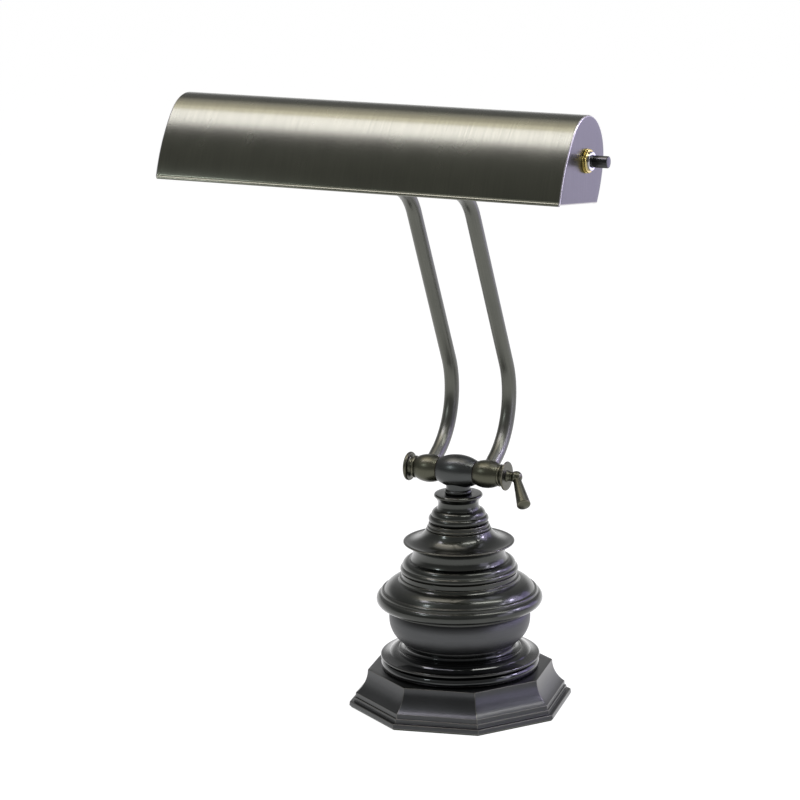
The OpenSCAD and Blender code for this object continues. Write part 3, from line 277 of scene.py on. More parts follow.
# %% Pedestal and bowl
PIPE_HOLE = 5.2
on_column(
    "pedestal", (66.4, 0), (66.7, 0.5), arc((67.5, 0.9), (64.4, 8.0), 2.2), (63.9, 8.2), (64.2, 8.7),
    arc((67.9, 8.9), (68.3, 11.3), 0.6), arc((68.0, 11.5), (60.9, 13.6), -0.4),
    arc((60.9, 13.6), (53.0, 16.4), 1.1)[1:], arc((52.3, 16.7), (48.6, 18.6), -0.5), (48.4, 19.6), (49.5, 24),
    (PIPE_HOLE, 24), (PIPE_HOLE, 21), (45.2, 21), (45.2, 8.8), (60.9, 8.8), (60.9, 0))
on_column(
    "bowl", arc((50.2, 0), (60.8, 18.8), 2.7, 24), arc((60.8, 18.8), (58.4, 27.5), 0.9)[1:], (58.4, 29.4),
    (53.8, 29.4), (53.8, 9.4), (46.2, 9.4), (46.2, 3), (PIPE_HOLE, 3), (PIPE_HOLE, 0))

# %% Cover, flared collar and top vase
on_column(
    "cover", (63.6, 0), (63.9, 0.3), (64.1, 1.9), (67.4, 2.3), arc((68.1, 2.5), (69.4, 12.1), 2.7, 24),
    (68.4, 12.5), arc((67.6, 12.9), (66.0, 16), 0.7), arc((64.8, 15.9), (52.6, 24.2), 1.9), (51.8, 25),
    (51.5, 27), (49.8, 27.4), (49.8, 31), (PIPE_HOLE, 31), (PIPE_HOLE, 28), (44.8, 28), (44.8, 16),
    (53.4, 16), (53.4, 12.1), (60.9, 12.1), (60.9, 3), (53.4, 3), (53.4, 0))
on_column(
    "flared_collar", (48.9, 0), arc((49.4, 0.4), (49.3, 5.2), 1.3), (48.6, 5.8),
    arc((48.6, 6.3), (43.2, 10.9), 1.5), arc((41.6, 11.4), (40.6, 22), -1.4), (41.8, 24.4), (46.4, 25.9),
    arc((47.4, 26), (47.2, 27.4), 0.5), arc((46.4, 27.5), (28, 37.9), -3.4, 24),
    arc((26.6, 38.2), (26.6, 40.6), 0.7), (25.6, 40.9), (25.6, 41.5), arc((25.6, 41.6), (25.4, 43.6), 0.5),
    (24.8, 43.8), (PIPE_HOLE, 43.8), (PIPE_HOLE, 40.8), (20.4, 40.8), (20.4, 23), (34, 23), (34, 0))
on_column(
    "top_vase", (23.8, 0), arc((24.3, 0.3), (24.2, 6.2), 1.5), (23.3, 6.6),
    arc((23.3, 6.9), (18.5, 12.2), 1.3), arc((18.5, 12.2), (17.8, 19.2), -0.7)[1:], (19.2, 21.4),
    (20.5, 22.8), arc((20.6, 22.9), (20.5, 24.9), 0.4), (20, 25.4), (PIPE_HOLE, 25.4), (PIPE_HOLE, 22.4),
    (12.1, 22.4), (12.1, 0), count=160)
on_column(
    "collar_ring", (10.7, 0), arc((11, 0.2), (11, 3.6), 0.9), (10.7, 3.8), (PIPE_HOLE, 3.8), (PIPE_HOLE, 0),
    count=128, soft=0.2)

# %% [markdown]
# ### The eight-sided foot
# The foot is a heavy casting. Its side is one moulding, a plain band, two small steps and a hollow
# curve, carried round an octagon instead of a circle. A lathe can't make that, so here each height
# gets its own octagon, with corners rounded by a millimetre as sand casting leaves them. The rounded
# corners count as worn edges too. The pocket for the cord bushing is cut at the back afterwards, as it
# would be drilled.

# %% Foot
FACING = math.radians(10.5)
EIGHTH = math.pi / 4
PER_CORNER, PER_SIDE = 9, 10


def octagon(flat_r, corner_r):
    """Plan of an octagon with rounded corners: on each side straight points, on each corner an arc whose
    centre lies (flat_r - corner_r) / cos(22.5 degrees) from the middle. flat_r is an array of rows."""
    flat_r = np.atleast_1d(flat_r)[:, None]
    k = np.arange(8)[:, None]
    turn = np.linspace(-EIGHTH / 2, EIGHTH / 2, PER_CORNER)[None, :]
    corner = FACING + EIGHTH / 2 + EIGHTH * k
    centre = (flat_r[:, :, None] - corner_r) / math.cos(EIGHTH / 2)
    x = centre * np.cos(corner) + corner_r * np.cos(corner + turn)
    y = centre * np.sin(corner) + corner_r * np.sin(corner + turn)
    rounds = np.stack([x, y], -1)
    start, end = rounds[:, :, -1], np.roll(rounds[:, :, 0], -1, 1)
    t = np.linspace(0, 1, PER_SIDE + 2)[1:-1, None]
    sides = start[:, :, None] * (1 - t) + end[:, :, None] * t
    return np.concatenate([rounds, sides], 2).reshape(len(flat_r), -1, 2)


FOOT_TOP, FOOT_CREASE = 33, 35
COVE_R, COVE_SWEEP = 25.64, math.radians(52.35)
t = np.linspace(COVE_SWEEP, 0, 28)
to_flat = math.cos(EIGHTH / 2)
steps = np.array([(97.0, 1.2), (97.4, 1.6), (97.0, 4.9), (96.6, 5.3), (93.2, 5.3), (93.2, 8.6), (92.8, 9.0),
                  (91.6, 9.0), (91.6, 12.0)]) * (to_flat, 1)
cove = np.stack([74.649 + COVE_R * (1 - np.cos(t)), FOOT_TOP - COVE_R * np.sin(t)], 1)
side = soften(run(steps, cove, (70, FOOT_TOP)), 0.5, ring=False)
inside = np.array([(PIPE_HOLE, FOOT_TOP), (PIPE_HOLE, 29), (67, 29), (67, 1.2)])
loop = np.concatenate([side, inside])
plan = octagon(side[:, 0], 1.0)
bearing = np.arctan2(plan[0, :, 1], plan[0, :, 0])
bores = inside[:, :1, None] * np.stack([np.cos(bearing), np.sin(bearing)], -1)[None]
rows = np.concatenate([plan, bores])
grid = np.concatenate([rows, np.broadcast_to(loop[:, 1:, None], rows.shape[:2] + (1,))], -1)
corners = np.tile(np.concatenate([np.sin(np.linspace(0, math.pi, PER_CORNER)), np.zeros(PER_SIDE)]), 8)
outside = (np.arange(len(loop)) < len(side))[:, None]
worn = np.maximum(convexity(loop)[:, None], 0.8 * corners * outside)
way = way_map(walked(loop, closed=True), walked(plan[0], closed=True))
foot = piece("foot_cast", grid, way, ["foot"], edge=worn, crease=FOOT_CREASE)

# %% Pocket for the cord bushing
BACK = math.radians(100.5)
INLET_Z = 22.3
POCKET_HALF, POCKET_FROM = 6.4, 74.85
DRILL_R, DRILL_SIDES = 4.7, 48


def cutter(name, points, faces):
    """A closed solid that is only used to cut with, from points in millimetres."""
    mesh = bpy.data.meshes.new(name)
    mesh.from_pydata((np.array(points, float) * MM).tolist(), [], faces)
    made = bpy.data.objects.new(name, mesh)
    bpy.context.scene.collection.objects.link(made)
    return made


def cut(made, tool):
    """Subtracts a tool from a piece and removes the tool."""
    change = made.modifiers.new("cut", "BOOLEAN")
    change.operation, change.solver, change.object = "DIFFERENCE", "EXACT", tool
    bake(made, FOOT_CREASE)
    bpy.data.objects.remove(tool)


def prism(outline, near, far):
    """Points and faces of a prism that runs outwards at the foot's back, from near to far from its axis.
    The outline is (to the side, up), in millimetres from the bushing's axis."""
    outwards = np.array([math.cos(BACK), math.sin(BACK), 0])
    sideways = np.array([math.sin(BACK), -math.cos(BACK), 0])
    count = len(outline)
    flat = outline[:, :1] * sideways + outline[:, 1:] * np.array([0, 0, 1]) + np.array([0, 0, INLET_Z])
    walls = [(k, (k + 1) % count, count + (k + 1) % count, count + k) for k in range(count)]
    ends = [tuple(range(count))[::-1], tuple(range(count, 2 * count))]
    return np.concatenate([flat + outwards * near, flat + outwards * far]), ends + walls


square = POCKET_HALF * np.array([(-1, -1), (1, -1), (1, 1), (-1, 1)])
cut(foot, cutter("pocket", *prism(square, POCKET_FROM, 110)))
a = circle(DRILL_SIDES)
cut(foot, cutter("drill", *prism(DRILL_R * np.stack([np.cos(a), np.sin(a)], 1), 60, 80)))

# %% [markdown]
# ### The clamp bar
# The barrel, the two knuckles, the finial and the flange lie on one axis at 205.9 mm. They are
# turned too, so the same helper makes them, with its z axis laid along the lamp's x axis.

# %% Clamp bar
AXIS_Z = 205.9
TO_RIGHT = np.array([(0, 1, 0), (0, 0, 1), (1, 0, 0)])  # where a piece's own x, y and z axes go
TO_LEFT = np.array([(0, -1, 0), (0, 0, 1), (-1, 0, 0)])
BAR_AT = (0, 0, AXIS_Z)
turned("barrel_turned", run(
    arc((10.2, -17), (10.2, 17), 4.2, 40), (8, 17), (8, 23.4), (5.6, 23.4), (5.6, -23.4), (8, -23.4),
    (8, -17)), (TO_RIGHT, BAR_AT), ["barrel"], count=128)
for name, way_out in (("left_knuckle", TO_LEFT), ("right_knuckle", TO_RIGHT)):
    turned(name + "_turned", run(
        arc((10, 17.7), (8.8, 38.6), 2.6, 28), (5.6, 38.6), (5.6, 23.7), (8.05, 23.7), (8.05, 17.7)),
        (way_out, BAR_AT), [name], count=128, soft=0.3)
neck = run((5.5, 35.7), (5.5, 38.7), arc((9.0, 38.7), (9.0, 41.0), 0.6), (8.1, 41.3), (8.1, 41.7))
turned("right_flange_turned", run(
    neck, arc((8.4, 41.8), (11.6, 44.4), -0.8), arc((12.2, 44.5), (12.2, 45.9), 0.3), (11.9, 46.1),
    (3.1, 46.1), (3.1, 35.7)), (TO_RIGHT, BAR_AT), ["right_flange"], count=128, soft=0.2)
turned("left_finial_turned", run(
    (0, 35.7), neck, arc((7.9, 41.8), (11.5, 43.9), -0.9), arc((11.9, 44.1), (11.8, 46.7), 0.6),
    arc((11.1, 46.9), (0, 49.1), 0.6)), (TO_LEFT, BAR_AT), ["left_finial"], count=128, soft=0.2, ring=False)

# %% [markdown]
# ### The lever
# A little handle is screwed into a ball at the bar's right end. It widens outwards to a nearly flat
# end with a rounded rim. At rest it points down, to the front and a little to the right. It could be
# drawn at that slant, but it is easier to change when it is turned upright and tipped afterwards.

# %% Lever
BALL_X, BALL_R, BALL_NECK_R = 54.3, 5.2, 4
a = np.linspace(math.asin(BALL_NECK_R / BALL_R), math.pi, 32)
ball = np.stack([BALL_R * np.sin(a), BALL_X - BALL_R * np.cos(a)], 1)
turned("lever_hub_turned", run((0, 46.4), (5.2, 46.4), arc((5, 46.6), (BALL_NECK_R, 50.1), -0.4), ball),
       (TO_RIGHT, BAR_AT), ["lever_hub"], count=96, soft=0.2, ring=False)
lean, splay = math.radians(130), math.radians(30)
tip = np.array([(1, 0, 0), (0, math.cos(lean), math.sin(lean)), (0, -math.sin(lean), math.cos(lean))])
swing = np.array([(math.cos(splay), 0, -math.sin(splay)), (0, 1, 0), (math.sin(splay), 0, math.cos(splay))])
turned("lever_handle_turned", run(
    (0, 3.7), (3.4, 3.7), (5.9, 31.1), arc((5.9, 31.1), (5.0, 32.0), 0.25)[1:],
    arc((4.9, 32.0), (0, 32.9), 0.2)), (swing @ tip, (BALL_X, 0, AXIS_Z)), ["lever_handle"],
    count=96, soft=0.15, ring=False)

# %% [markdown]
# ### The arm tubes
# Each arm is half-inch tube that was bent twice. A curve object with a round bevel would give its
# shape, but not the place of each point along the tube, which the drawn lines of its finish need. So
# its line is worked out from the lean of the tube: straight, a bend of 59.5 mm radius, a long
# straight, a bend of 50 mm and a last straight. A circle is carried along that line, once for the
# outside and once, backwards, for the bore.

# %% Arms
ARM_X, TUBE_R, TUBE_WALL = 27, 6.35, 1.2
FROM_AXIS = 8.2


def along(lean):
    """Unit step (y, z) along a tube that leans that far from upright to the back, in radians."""
    return np.array([math.sin(lean), math.cos(lean)])


def tube_line():
    """Points, and the lean from upright, along an arm: on a bend, y gains R (cos lean - cos lean0) and
    z gains R (sin lean0 - sin lean); on a straight both go on along the lean."""
    lean = math.radians(60.5)
    points, leans = [(np.array([0, AXIS_Z]) + FROM_AXIS * along(lean))[None]], [np.array([lean])]
    for length, radius, to in ((12.8, 0, 0), (0, 59.5, -25.3), (153.5, 0, 0), (0, 50, -70.3), (73.8, 0, 0)):
        last = points[-1][-1]
        if length:
            t = np.linspace(0, length, max(2, int(length / 4)))[1:, None]
            points.append(last + t * along(lean))
            leans.append(np.full(len(t), lean))
        else:
            a = np.linspace(lean, math.radians(to), 48)[1:]
            gain = np.stack([np.cos(a) - math.cos(lean), math.sin(lean) - np.sin(a)], 1)
            points.append(last + radius * gain)
            leans.append(a)
            lean = a[-1]
    return np.vstack(points), np.concatenate(leans)


AROUND_TUBE = 72
line, leans = tube_line()
a = math.pi / 2 + circle(AROUND_TUBE)
lean_all = np.concatenate([leans, leans[::-1]])[:, None]
line_all = np.concatenate([line, line[::-1]])[:, None]
radius = np.repeat([TUBE_R, TUBE_R - TUBE_WALL], len(line))[:, None]
walk = walked(line)
walk = np.concatenate([walk, walk[::-1], walk[:1]])
lengthwise = way_map(walk, np.linspace(0, 2 * math.pi * TUBE_R, AROUND_TUBE + 1))[..., ::-1]
for name, x in (("left_arm", -ARM_X), ("right_arm", ARM_X)):
    grid = np.stack([x + radius * np.cos(a), line_all[..., 0] + radius * np.sin(a) * np.cos(lean_all),
                     line_all[..., 1] - radius * np.sin(a) * np.sin(lean_all)], -1)
    piece(name + "_tube", grid, lengthwise, [name])
print("arm ends at", line[-1])

# %% [markdown]
# ## The shade
# The shade is one brass sheet, 0.8 mm thick, bent over three arcs. Its front edge is rolled in to a
# small bead, which draws the light line along the lower edge, and its back edge is folded in. It is
# made as sheet is drawn on paper: only the middle of the thickness, as a grid. The grid's faces are
# left out where the two slots for the arms are, and Solidify then gives the sheet its thickness.

# %% Shade's section
TILT = math.radians(8.2)
ARCS = (((123.659, -18.260), 125, 81.6, 53.5, 34), ((51.312, 35.274), 35, 53.5, -94.7, 72),
        ((1.480, 39.371), 85, -94.7, -117.0, 22))  # centre, radius, angles from n towards the front, points
PIVOT_U, PIVOT_N, PIVOT_Y, PIVOT_Z = 65.6, 14.4, -128.378, 485.579


def section(inset):
    """The section's outline moved inwards, from the front edge over the crown to the back edge. On each
    arc a point is centre + (radius - inset) x (-sin a, cos a)."""
    parts = []
    for centre, radius, a0, a1, count in ARCS:
        a = np.radians(np.linspace(a0, a1, count))
        parts.append(np.array(centre) + (radius - inset) * np.stack([-np.sin(a), np.cos(a)], 1))
    return np.concatenate([parts[0][:-1], parts[1][:-1], parts[2]])


def in_shade(x, u, n):
    """Puts points of the shade's section (u to the back, n up) on the lamp: their distances from the
    arms' pivot are turned by the tilt and added to the pivot's place."""
    y = PIVOT_Y + (u - PIVOT_U) * math.cos(TILT) + (n - PIVOT_N) * math.sin(TILT)
    z = PIVOT_Z - (u - PIVOT_U) * math.sin(TILT) + (n - PIVOT_N) * math.cos(TILT)
    return np.stack(np.broadcast_arrays(x, y, z), -1)


# %% Shell
SHEET, HEM, SHEET_END = 0.8, 3.5, 176.0  # thickness, depth of a hem, half the length
SLOT_TOP, SLOT_HALF = 26.8, 7.8  # height of a slot's upper end, half its width
BACK_EDGE = (77.216, 0.781)
mid = section(SHEET / 2)
mid = mid[mid[:, 1] > HEM]
bead = [(HEM, SHEET / 2), (1.5, SHEET / 2), (0.45, 0.9), (0.45, 1.7), (1.25, 2.5)]
fold = np.array(BACK_EDGE) + [(-SHEET / 2, SHEET / 2), (-SHEET / 2 - HEM, SHEET / 2)]
line = soften(run(bead, mid, fold), 0.9, 6, ring=False)
crest = line[:, 1].argmax()
at = crest + np.argmax(line[crest:, 1] < SLOT_TOP)
share = (line[at - 1, 1] - SLOT_TOP) / (line[at - 1, 1] - line[at, 1])
line = np.insert(line, at, line[at - 1] * (1 - share) + line[at] * share, 0)
slot_sides = [s * ARM_X + t * SLOT_HALF for s in (-1, 1) for t in (-1, 1)]
xs = np.unique(np.concatenate([np.linspace(-SHEET_END, SHEET_END, 90), slot_sides]))
grid = in_shade(xs[None, :], line[:, :1], line[:, 1:])
middle = (xs[1:] + xs[:-1]) / 2
in_slot = (np.abs(np.abs(middle) - ARM_X) < SLOT_HALF)[None, :] & (np.arange(len(line) - 1) >= at)[:, None]
brushed = way_map(walked(line), xs)[..., ::-1]
shell = piece("shade_sheet", grid, brushed, ["shade_shell"], ring_i=False, ring_j=False, keep=~in_slot)
wall = shell.modifiers.new("sheet", "SOLIDIFY")
wall.thickness, wall.offset, wall.use_even_offset = SHEET * MM, 0, True
bake(shell)

# %% [markdown]
# ### The end caps
# Each end cap is a shallow pressed dish. Its flange sits inside the shell, and its round rim covers
# the sheet's cut edge. The rim's round catches the light, and a near-white colour along it is a
# painted highlight that draws the bright line there. The outline is the shell's own section, moved
# inwards. Seen from the switch, it is met once in each direction, so the face is a fan of rays from
# the switch hole to the outline.

# %% End caps
SWITCH_U, SWITCH_N, SWITCH_HOLE = 49.2, 34.6, 7.7
SEAM, LOW_EDGE = 0.85, 1.68  # how far the flange lies inside the section, height of its lower edge
FLANGE_X, INSIDE_X, FACE_X = 171.3, 176.3, 177.3
RIM_OUT, RIM_R = 0.12, 1.23  # how far the rim lies inside the section, radius of its round
rays = circle(320)


def cap_reach(inset):
    """How far the cap's outline, moved inwards, lies from the switch in each direction: the distances of
    its points, sorted by their bearing and read off at the rays."""
    points = section(inset)
    low = LOW_EDGE + inset - SEAM
    points = points[points[:, 1] > low]
    points = soften(run((points[0, 0], low), points, (points[-1, 0], low)), 2.6, 9)
    bottom = np.linspace(points[-1], points[0], 60)[1:-1]
    points = np.concatenate([points, bottom]) - (SWITCH_U, SWITCH_N)
    angle = np.mod(np.arctan2(points[:, 1], points[:, 0]), 2 * math.pi)
    order = np.argsort(angle)
    return np.interp(rays, angle[order], np.linalg.norm(points, axis=1)[order], period=2 * math.pi)


flange, lip = cap_reach(SEAM), cap_reach(SEAM + SHEET)
outer, inner = cap_reach(RIM_OUT), cap_reach(RIM_OUT + RIM_R)
bend = np.radians(np.linspace(0, 90, 9))
for name, mirror, hole in (("left_cap", -1, 0.0), ("right_cap", 1, SWITCH_HOLE)):
    rows = [(FLANGE_X, flange), (SHEET_END + 0.05, flange)]
    rows += [(FACE_X - RIM_R * (1 - math.sin(b)), outer + (inner - outer) * (1 - math.cos(b))) for b in bend]
    rows += [(FACE_X, inner + (hole - inner) * share) for share in (0.2, 0.4, 0.6, 0.8, 1.0)]
    rows += [(INSIDE_X, hole + (inner - hole) * share) for share in (0.0, 0.5, 1.0)]
    rows += [(FLANGE_X, lip)]
    x, reach = np.array([row[0] for row in rows])[:, None], np.array([row[1] for row in rows])
    u, v = SWITCH_U + reach * np.cos(rays), SWITCH_N + reach * np.sin(rays)
    grid = in_shade(mirror * x, u, v)
    way = np.stack([v, u], -1)
    way = np.concatenate([way, way[:1]])
    way = np.concatenate([way, way[:, :1]], 1)
    if mirror < 0:
        grid, way = grid[:, ::-1], way[:, ::-1]
    # Only the rim's bend takes the edge colour: a painted highlight along the rim.
    rim_highlight = np.concatenate([[0, 0], np.sin(2 * bend), np.zeros(9)])[:, None]
    piece(name + "_pressed", grid, way, [name], edge=rim_highlight, crease=30)

# %% [markdown]
# ### The push switch
# A knurled ring nut holds the switch's chromed bushing in the cap. The knurl is 44 small teeth,
# pressed into two bands with a groove between. A bump pattern would be less work, but the teeth break
# up the ring's bright edge, so they are real. A black button stands out of the bushing.

# %% Ring nut, bushing and button
NUT_X, NUT_R, TEETH, TOOTH_DEPTH = 177.35, 9.7, 44, 0.35
BUSHING_X, BUTTON_X = 176.25, 174.0


def out_of_switch(x):
    """Places a piece with its z axis out of the switch."""
    y, z = in_shade(0.0, SWITCH_U, SWITCH_N)[1:]
    return TO_RIGHT, (x, y, z)


def knurl(a, loop):
    """Depth of the knurl: a triangle wave round the rim, only on the outer edge of the two bands."""
    wave = np.abs(np.mod(a * TEETH / (2 * math.pi), 1) * 2 - 1)
    return TOOTH_DEPTH * wave * (loop[:, :1] > NUT_R - 0.75)


turned("switch_nut_knurled", run(
    (8.9, 0), (NUT_R, 0.1), (NUT_R, 1.2), (8.6, 1.35), (8.6, 2.0), (NUT_R - 0.3, 2.15), (NUT_R - 0.3, 3.2),
    (8.8, 3.4), (7.56, 3.4), (7.56, 0)), out_of_switch(NUT_X), ["switch_nut"],
    count=TEETH * 8, soft=0.12, teeth=knurl)
turned("switch_bushing_turned", run(
    (7.5, 0), (7.5, 6.3), (7.1, 6.7), (5.3, 6.75), (4.86, 6.4), (4.86, 0)), out_of_switch(BUSHING_X),
    ["switch_bushing"], count=96, soft=0.2)
a = np.radians(np.linspace(0, 90, 9))
rim = np.stack([4.0 + 0.8 * np.cos(a), 21.6 + 0.8 * np.sin(a)], 1)
turned("push_button_moulded", run((0, 0), (4.8, 0), rim, (2.4, 22.58), (0, 22.6)), out_of_switch(BUTTON_X),
       ["push_button"], count=96, soft=0.1, ring=False)

# %% [markdown]
# ### The lamp
# A long tubular bulb with a frosted glass envelope lies under the shade. Its shape is one outline
# again, closed at the far end by a half sphere.

# %% Bulb
BULB_R, BULB_HALF, GLASS = 15.5, 58.5, 1.0
y, z = in_shade(0.0, 43.0, 37.0)[1:]
a = np.radians(np.linspace(-90, 0, 24))
dome = np.stack([np.cos(a), np.sin(a)], 1)
dome_at = np.array([0, BULB_R - BULB_HALF])
outside = run(BULB_R * dome + dome_at, arc((BULB_R, 52.5), (12.3, BULB_HALF), 0.8))
inside = run(arc((11.3, BULB_HALF), (BULB_R - GLASS, 52.5), -0.8), ((BULB_R - GLASS) * dome + dome_at)[::-1])
turned("bulb_blown", run(outside, inside), (TO_RIGHT, (0, y, z)), ["bulb_glass"],
       count=96, soft=0.1, ring=False)

# %% [markdown]
# ## Finishes
# Everything that shows is one family: brass, zinc and iron parts, plated and then darkened to an
# antique bronze, and lacquered. Three things tell the eye what each part is: how dark the bronze was
# left, how the surface was worked before (brushed sheet, turned casting, drawn tube), and how glossy
# the lacquer is. Colours are written as sRGB hex values and one function turns them to linear.

# %% Colour and node helpers
def colour(text):
    """sRGB hex to linear: c / 12.92 up to 0.04045, above it ((c + 0.055) / 1.055) to the power 2.4."""
    c = np.array([int(text[k:k + 2], 16) for k in (1, 3, 5)]) / 255
    return (*np.where(c <= 0.04045, c / 12.92, ((c + 0.055) / 1.055) ** 2.4), 1.0)


def add(tree, kind, sockets=None, links=None, **settings):
    """Adds one node with its settings, the values of its sockets and the links into it. Sockets go by
    name, or by number where a node has several of a name: Mix has its factor at 0, its values at 2 and 3
    and its colours at 6 and 7."""
    made = tree.nodes.new("ShaderNode" + kind)
    for key, value in settings.items():
        setattr(made, key, value)
    for key, value in (sockets or {}).items():
        made.inputs[key].default_value = value
    for key, source in (links or {}).items():
        tree.links.new(source, made.inputs[key])
    return made


def start(name):
    """An empty material and its output."""
    made = bpy.data.materials.new(name)
    made.use_nodes = True
    made.node_tree.nodes.clear()
    return made, made.node_tree, add(made.node_tree, "OutputMaterial")


# %% [markdown]
# ### Antique bronze
# The tool marks are noise that is stretched along the marks and fine across them. Real ones lie about
# 0.1 mm apart, which is too fine to show here, so they are drawn 0.5 mm apart or more. They tint the
# metal, and where the marks are strong the shader also draws the highlight out across them. A wide,
# faint cloud stands for the hand-rubbed tone, which is never quite even, and moves gloss and relief a
# little. An image could give all this too, but it would have to be painted for every piece. The worn
# edges are lighter. On the caps' rims this edge colour is near white and is a painted highlight. The
# lacquer is the shader's coat: a thin clear layer with its own gloss.

# %% Antique bronze
CLOUD_MM = 22.22
# The middle number below is the most of the edge colour that is mixed in: rub on worn edges, and a painted
# highlight on the caps' rims.
MARK_TINT, EDGE_RUB_AND_HIGHLIGHT, GLOSS_SWING = 0.35, 0.55, 0.03


def bronze(name, tones, rough, marks, lacquer, spread=0.0):
    """Bronze tone over worked metal. tones are the cloud's dark and light and the worn edges' colour,
    which on the caps' rims is a painted highlight; marks are the tool marks' spacing and length in mm
    and their strength; lacquer is the coat's weight and roughness; spread is how far the marks draw a
    highlight out."""
    (dark, light, worn), (spacing, length, strength) = tones, marks
    material, tree, output = start(name)
    way = add(tree, "UVMap", uv_map="way").outputs["UV"]
    place = add(tree, "TexCoord").outputs["Object"]
    lie = add(tree, "Mapping", {"Scale": (1000 / length, 1000 / spacing, 1)}, {"Vector": way})
    lines = add(tree, "TexNoise", {"Scale": 1.0, "Detail": 3.0, "Roughness": 0.6},
                {"Vector": lie.outputs["Vector"]})
    cloud = add(tree, "TexNoise", {"Scale": 1000 / CLOUD_MM, "Detail": 1.0, "Roughness": 0.5},
                {"Vector": place}).outputs["Fac"]
    tone = add(tree, "Mix", {6: colour(dark), 7: colour(light)}, {0: cloud}, data_type="RGBA")
    tint = add(tree, "MapRange", {"From Min": 0.3, "From Max": 0.7, "To Min": 1 - MARK_TINT * strength,
                                  "To Max": 1 + MARK_TINT * strength}, {"Value": lines.outputs["Fac"]})
    marked = add(tree, "VectorMath", None, {0: tone.outputs[2], "Scale": tint.outputs["Result"]},
                 operation="SCALE")
    edge = add(tree, "Attribute", attribute_name="edge")
    # The edge colour, mixed in by the edge marks: rub on worn edges, a painted highlight on the caps' rims.
    rub_and_highlight = add(tree, "MapRange", {"To Max": EDGE_RUB_AND_HIGHLIGHT}, {"Value": edge.outputs["Fac"]})
    toned = add(tree, "Mix", {7: colour(worn)}, {0: rub_and_highlight.outputs["Result"], 6: marked.outputs["Vector"]},
                data_type="RGBA")
    gloss = add(tree, "MapRange", {"To Min": rough - GLOSS_SWING, "To Max": rough + GLOSS_SWING},
                {"Value": cloud})
    relief = add(tree, "Bump", {"Strength": 0.1 * strength, "Distance": 0.1 * MM}, {"Height": cloud})
    lay = add(tree, "Tangent", direction_type="UV_MAP", uv_map="way")
    shader = add(tree, "BsdfPrincipled",
                 {"Metallic": 1.0, "Anisotropic": spread, "Anisotropic Rotation": 0.25,
                  "Coat Weight": lacquer[0], "Coat Roughness": lacquer[1]},
                 {"Base Color": toned.outputs[2], "Roughness": gloss.outputs["Result"],
                  "Normal": relief.outputs["Normal"], "Tangent": lay.outputs["Tangent"]})
    tree.links.new(shader.outputs["BSDF"], output.inputs["Surface"])
    return material


# Sheet drawn under a belt brush: fine lines, and a highlight that is pulled out across them.
# Its edge colour, the tan of the light line along the hem, is a painted highlight; no piece of this sheet
# carries edge marks, so it does not show.
brushed_sheet = bronze("brushed_bronze_sheet", ("#54554a", "#5c5d51", "#8b8058"), 0.265,
                       (0.5, 40, 0.35), (0.3, 0.25), 0.6)
# The caps are pressed from brushed sheet too, but toned less brown. Their near-white edge colour is
# a painted highlight along the rims.
cap_sheet = bronze("brushed_bronze_cap", ("#4a4948", "#545352", "#fffbff"), 0.30,
                   (0.8, 60, 0.5), (0.3, 0.25), 0.6)
# Zinc castings, turned and polished before plating: smooth, nearly black, under a clear lacquer.
turned_casting = bronze("lacquered_bronze_casting", ("#31332f", "#3b3d39", "#6a675c"), 0.30,
                        (0.6, 30, 0.12), (0.6, 0.1))
# The lowest casting of the stack was left darkest, with the most lacquer.
dark_casting = bronze("dark_lacquered_casting", ("#1e2020", "#252727", "#55534c"), 0.26,
                      (0.6, 30, 0.1), (0.9, 0.07))
# The bowl was brushed round and has no lacquer: an even satin grey.
satin_casting = bronze("satin_bronze_casting", ("#515253", "#58595a", "#6f6f6c"), 0.46,
                       (0.5, 40, 0.25), (0.0, 0.3), 0.3)
# Iron from a sand mould, ground and lacquered: a trace of the mould's unevenness stays, and it is
# longer than wide because the grinding ran round the foot.
foot_casting = bronze("lacquered_iron_casting", ("#393a3b", "#414243", "#77756c"), 0.34,
                      (1.5, 8, 0.15), (0.35, 0.2))
# Turned bar: the tone was rubbed thinner here, so it is more olive than the castings.
bar_metal = bronze("turned_bronze_bar", ("#4c4c40", "#555548", "#7d7867"), 0.36, (0.5, 20, 0.15), (0.2, 0.25))
# The bar's barrel, with the saddle and the ring under it, was toned a little darker and greyer.
barrel_metal = bronze("dark_bronze_barrel", ("#414342", "#484a49", "#6b6a63"), 0.34,
                      (0.5, 20, 0.15), (0.3, 0.2))
# Drawn tube: lengthwise lines from the die.
drawn_tube = bronze("drawn_bronze_tube", ("#575852", "#60615a", "#7d7867"), 0.34,
                    (0.6, 60, 0.3), (0.1, 0.25), 0.4)

# %% [markdown]
# ### The small parts
# These are seen close up, from below or through the slots. Each gets one plain recipe: a colour
# with a slight cloud, and a fine grain of the size that its making leaves.

# %% Plain finishes
HAZE_MM = 8.333


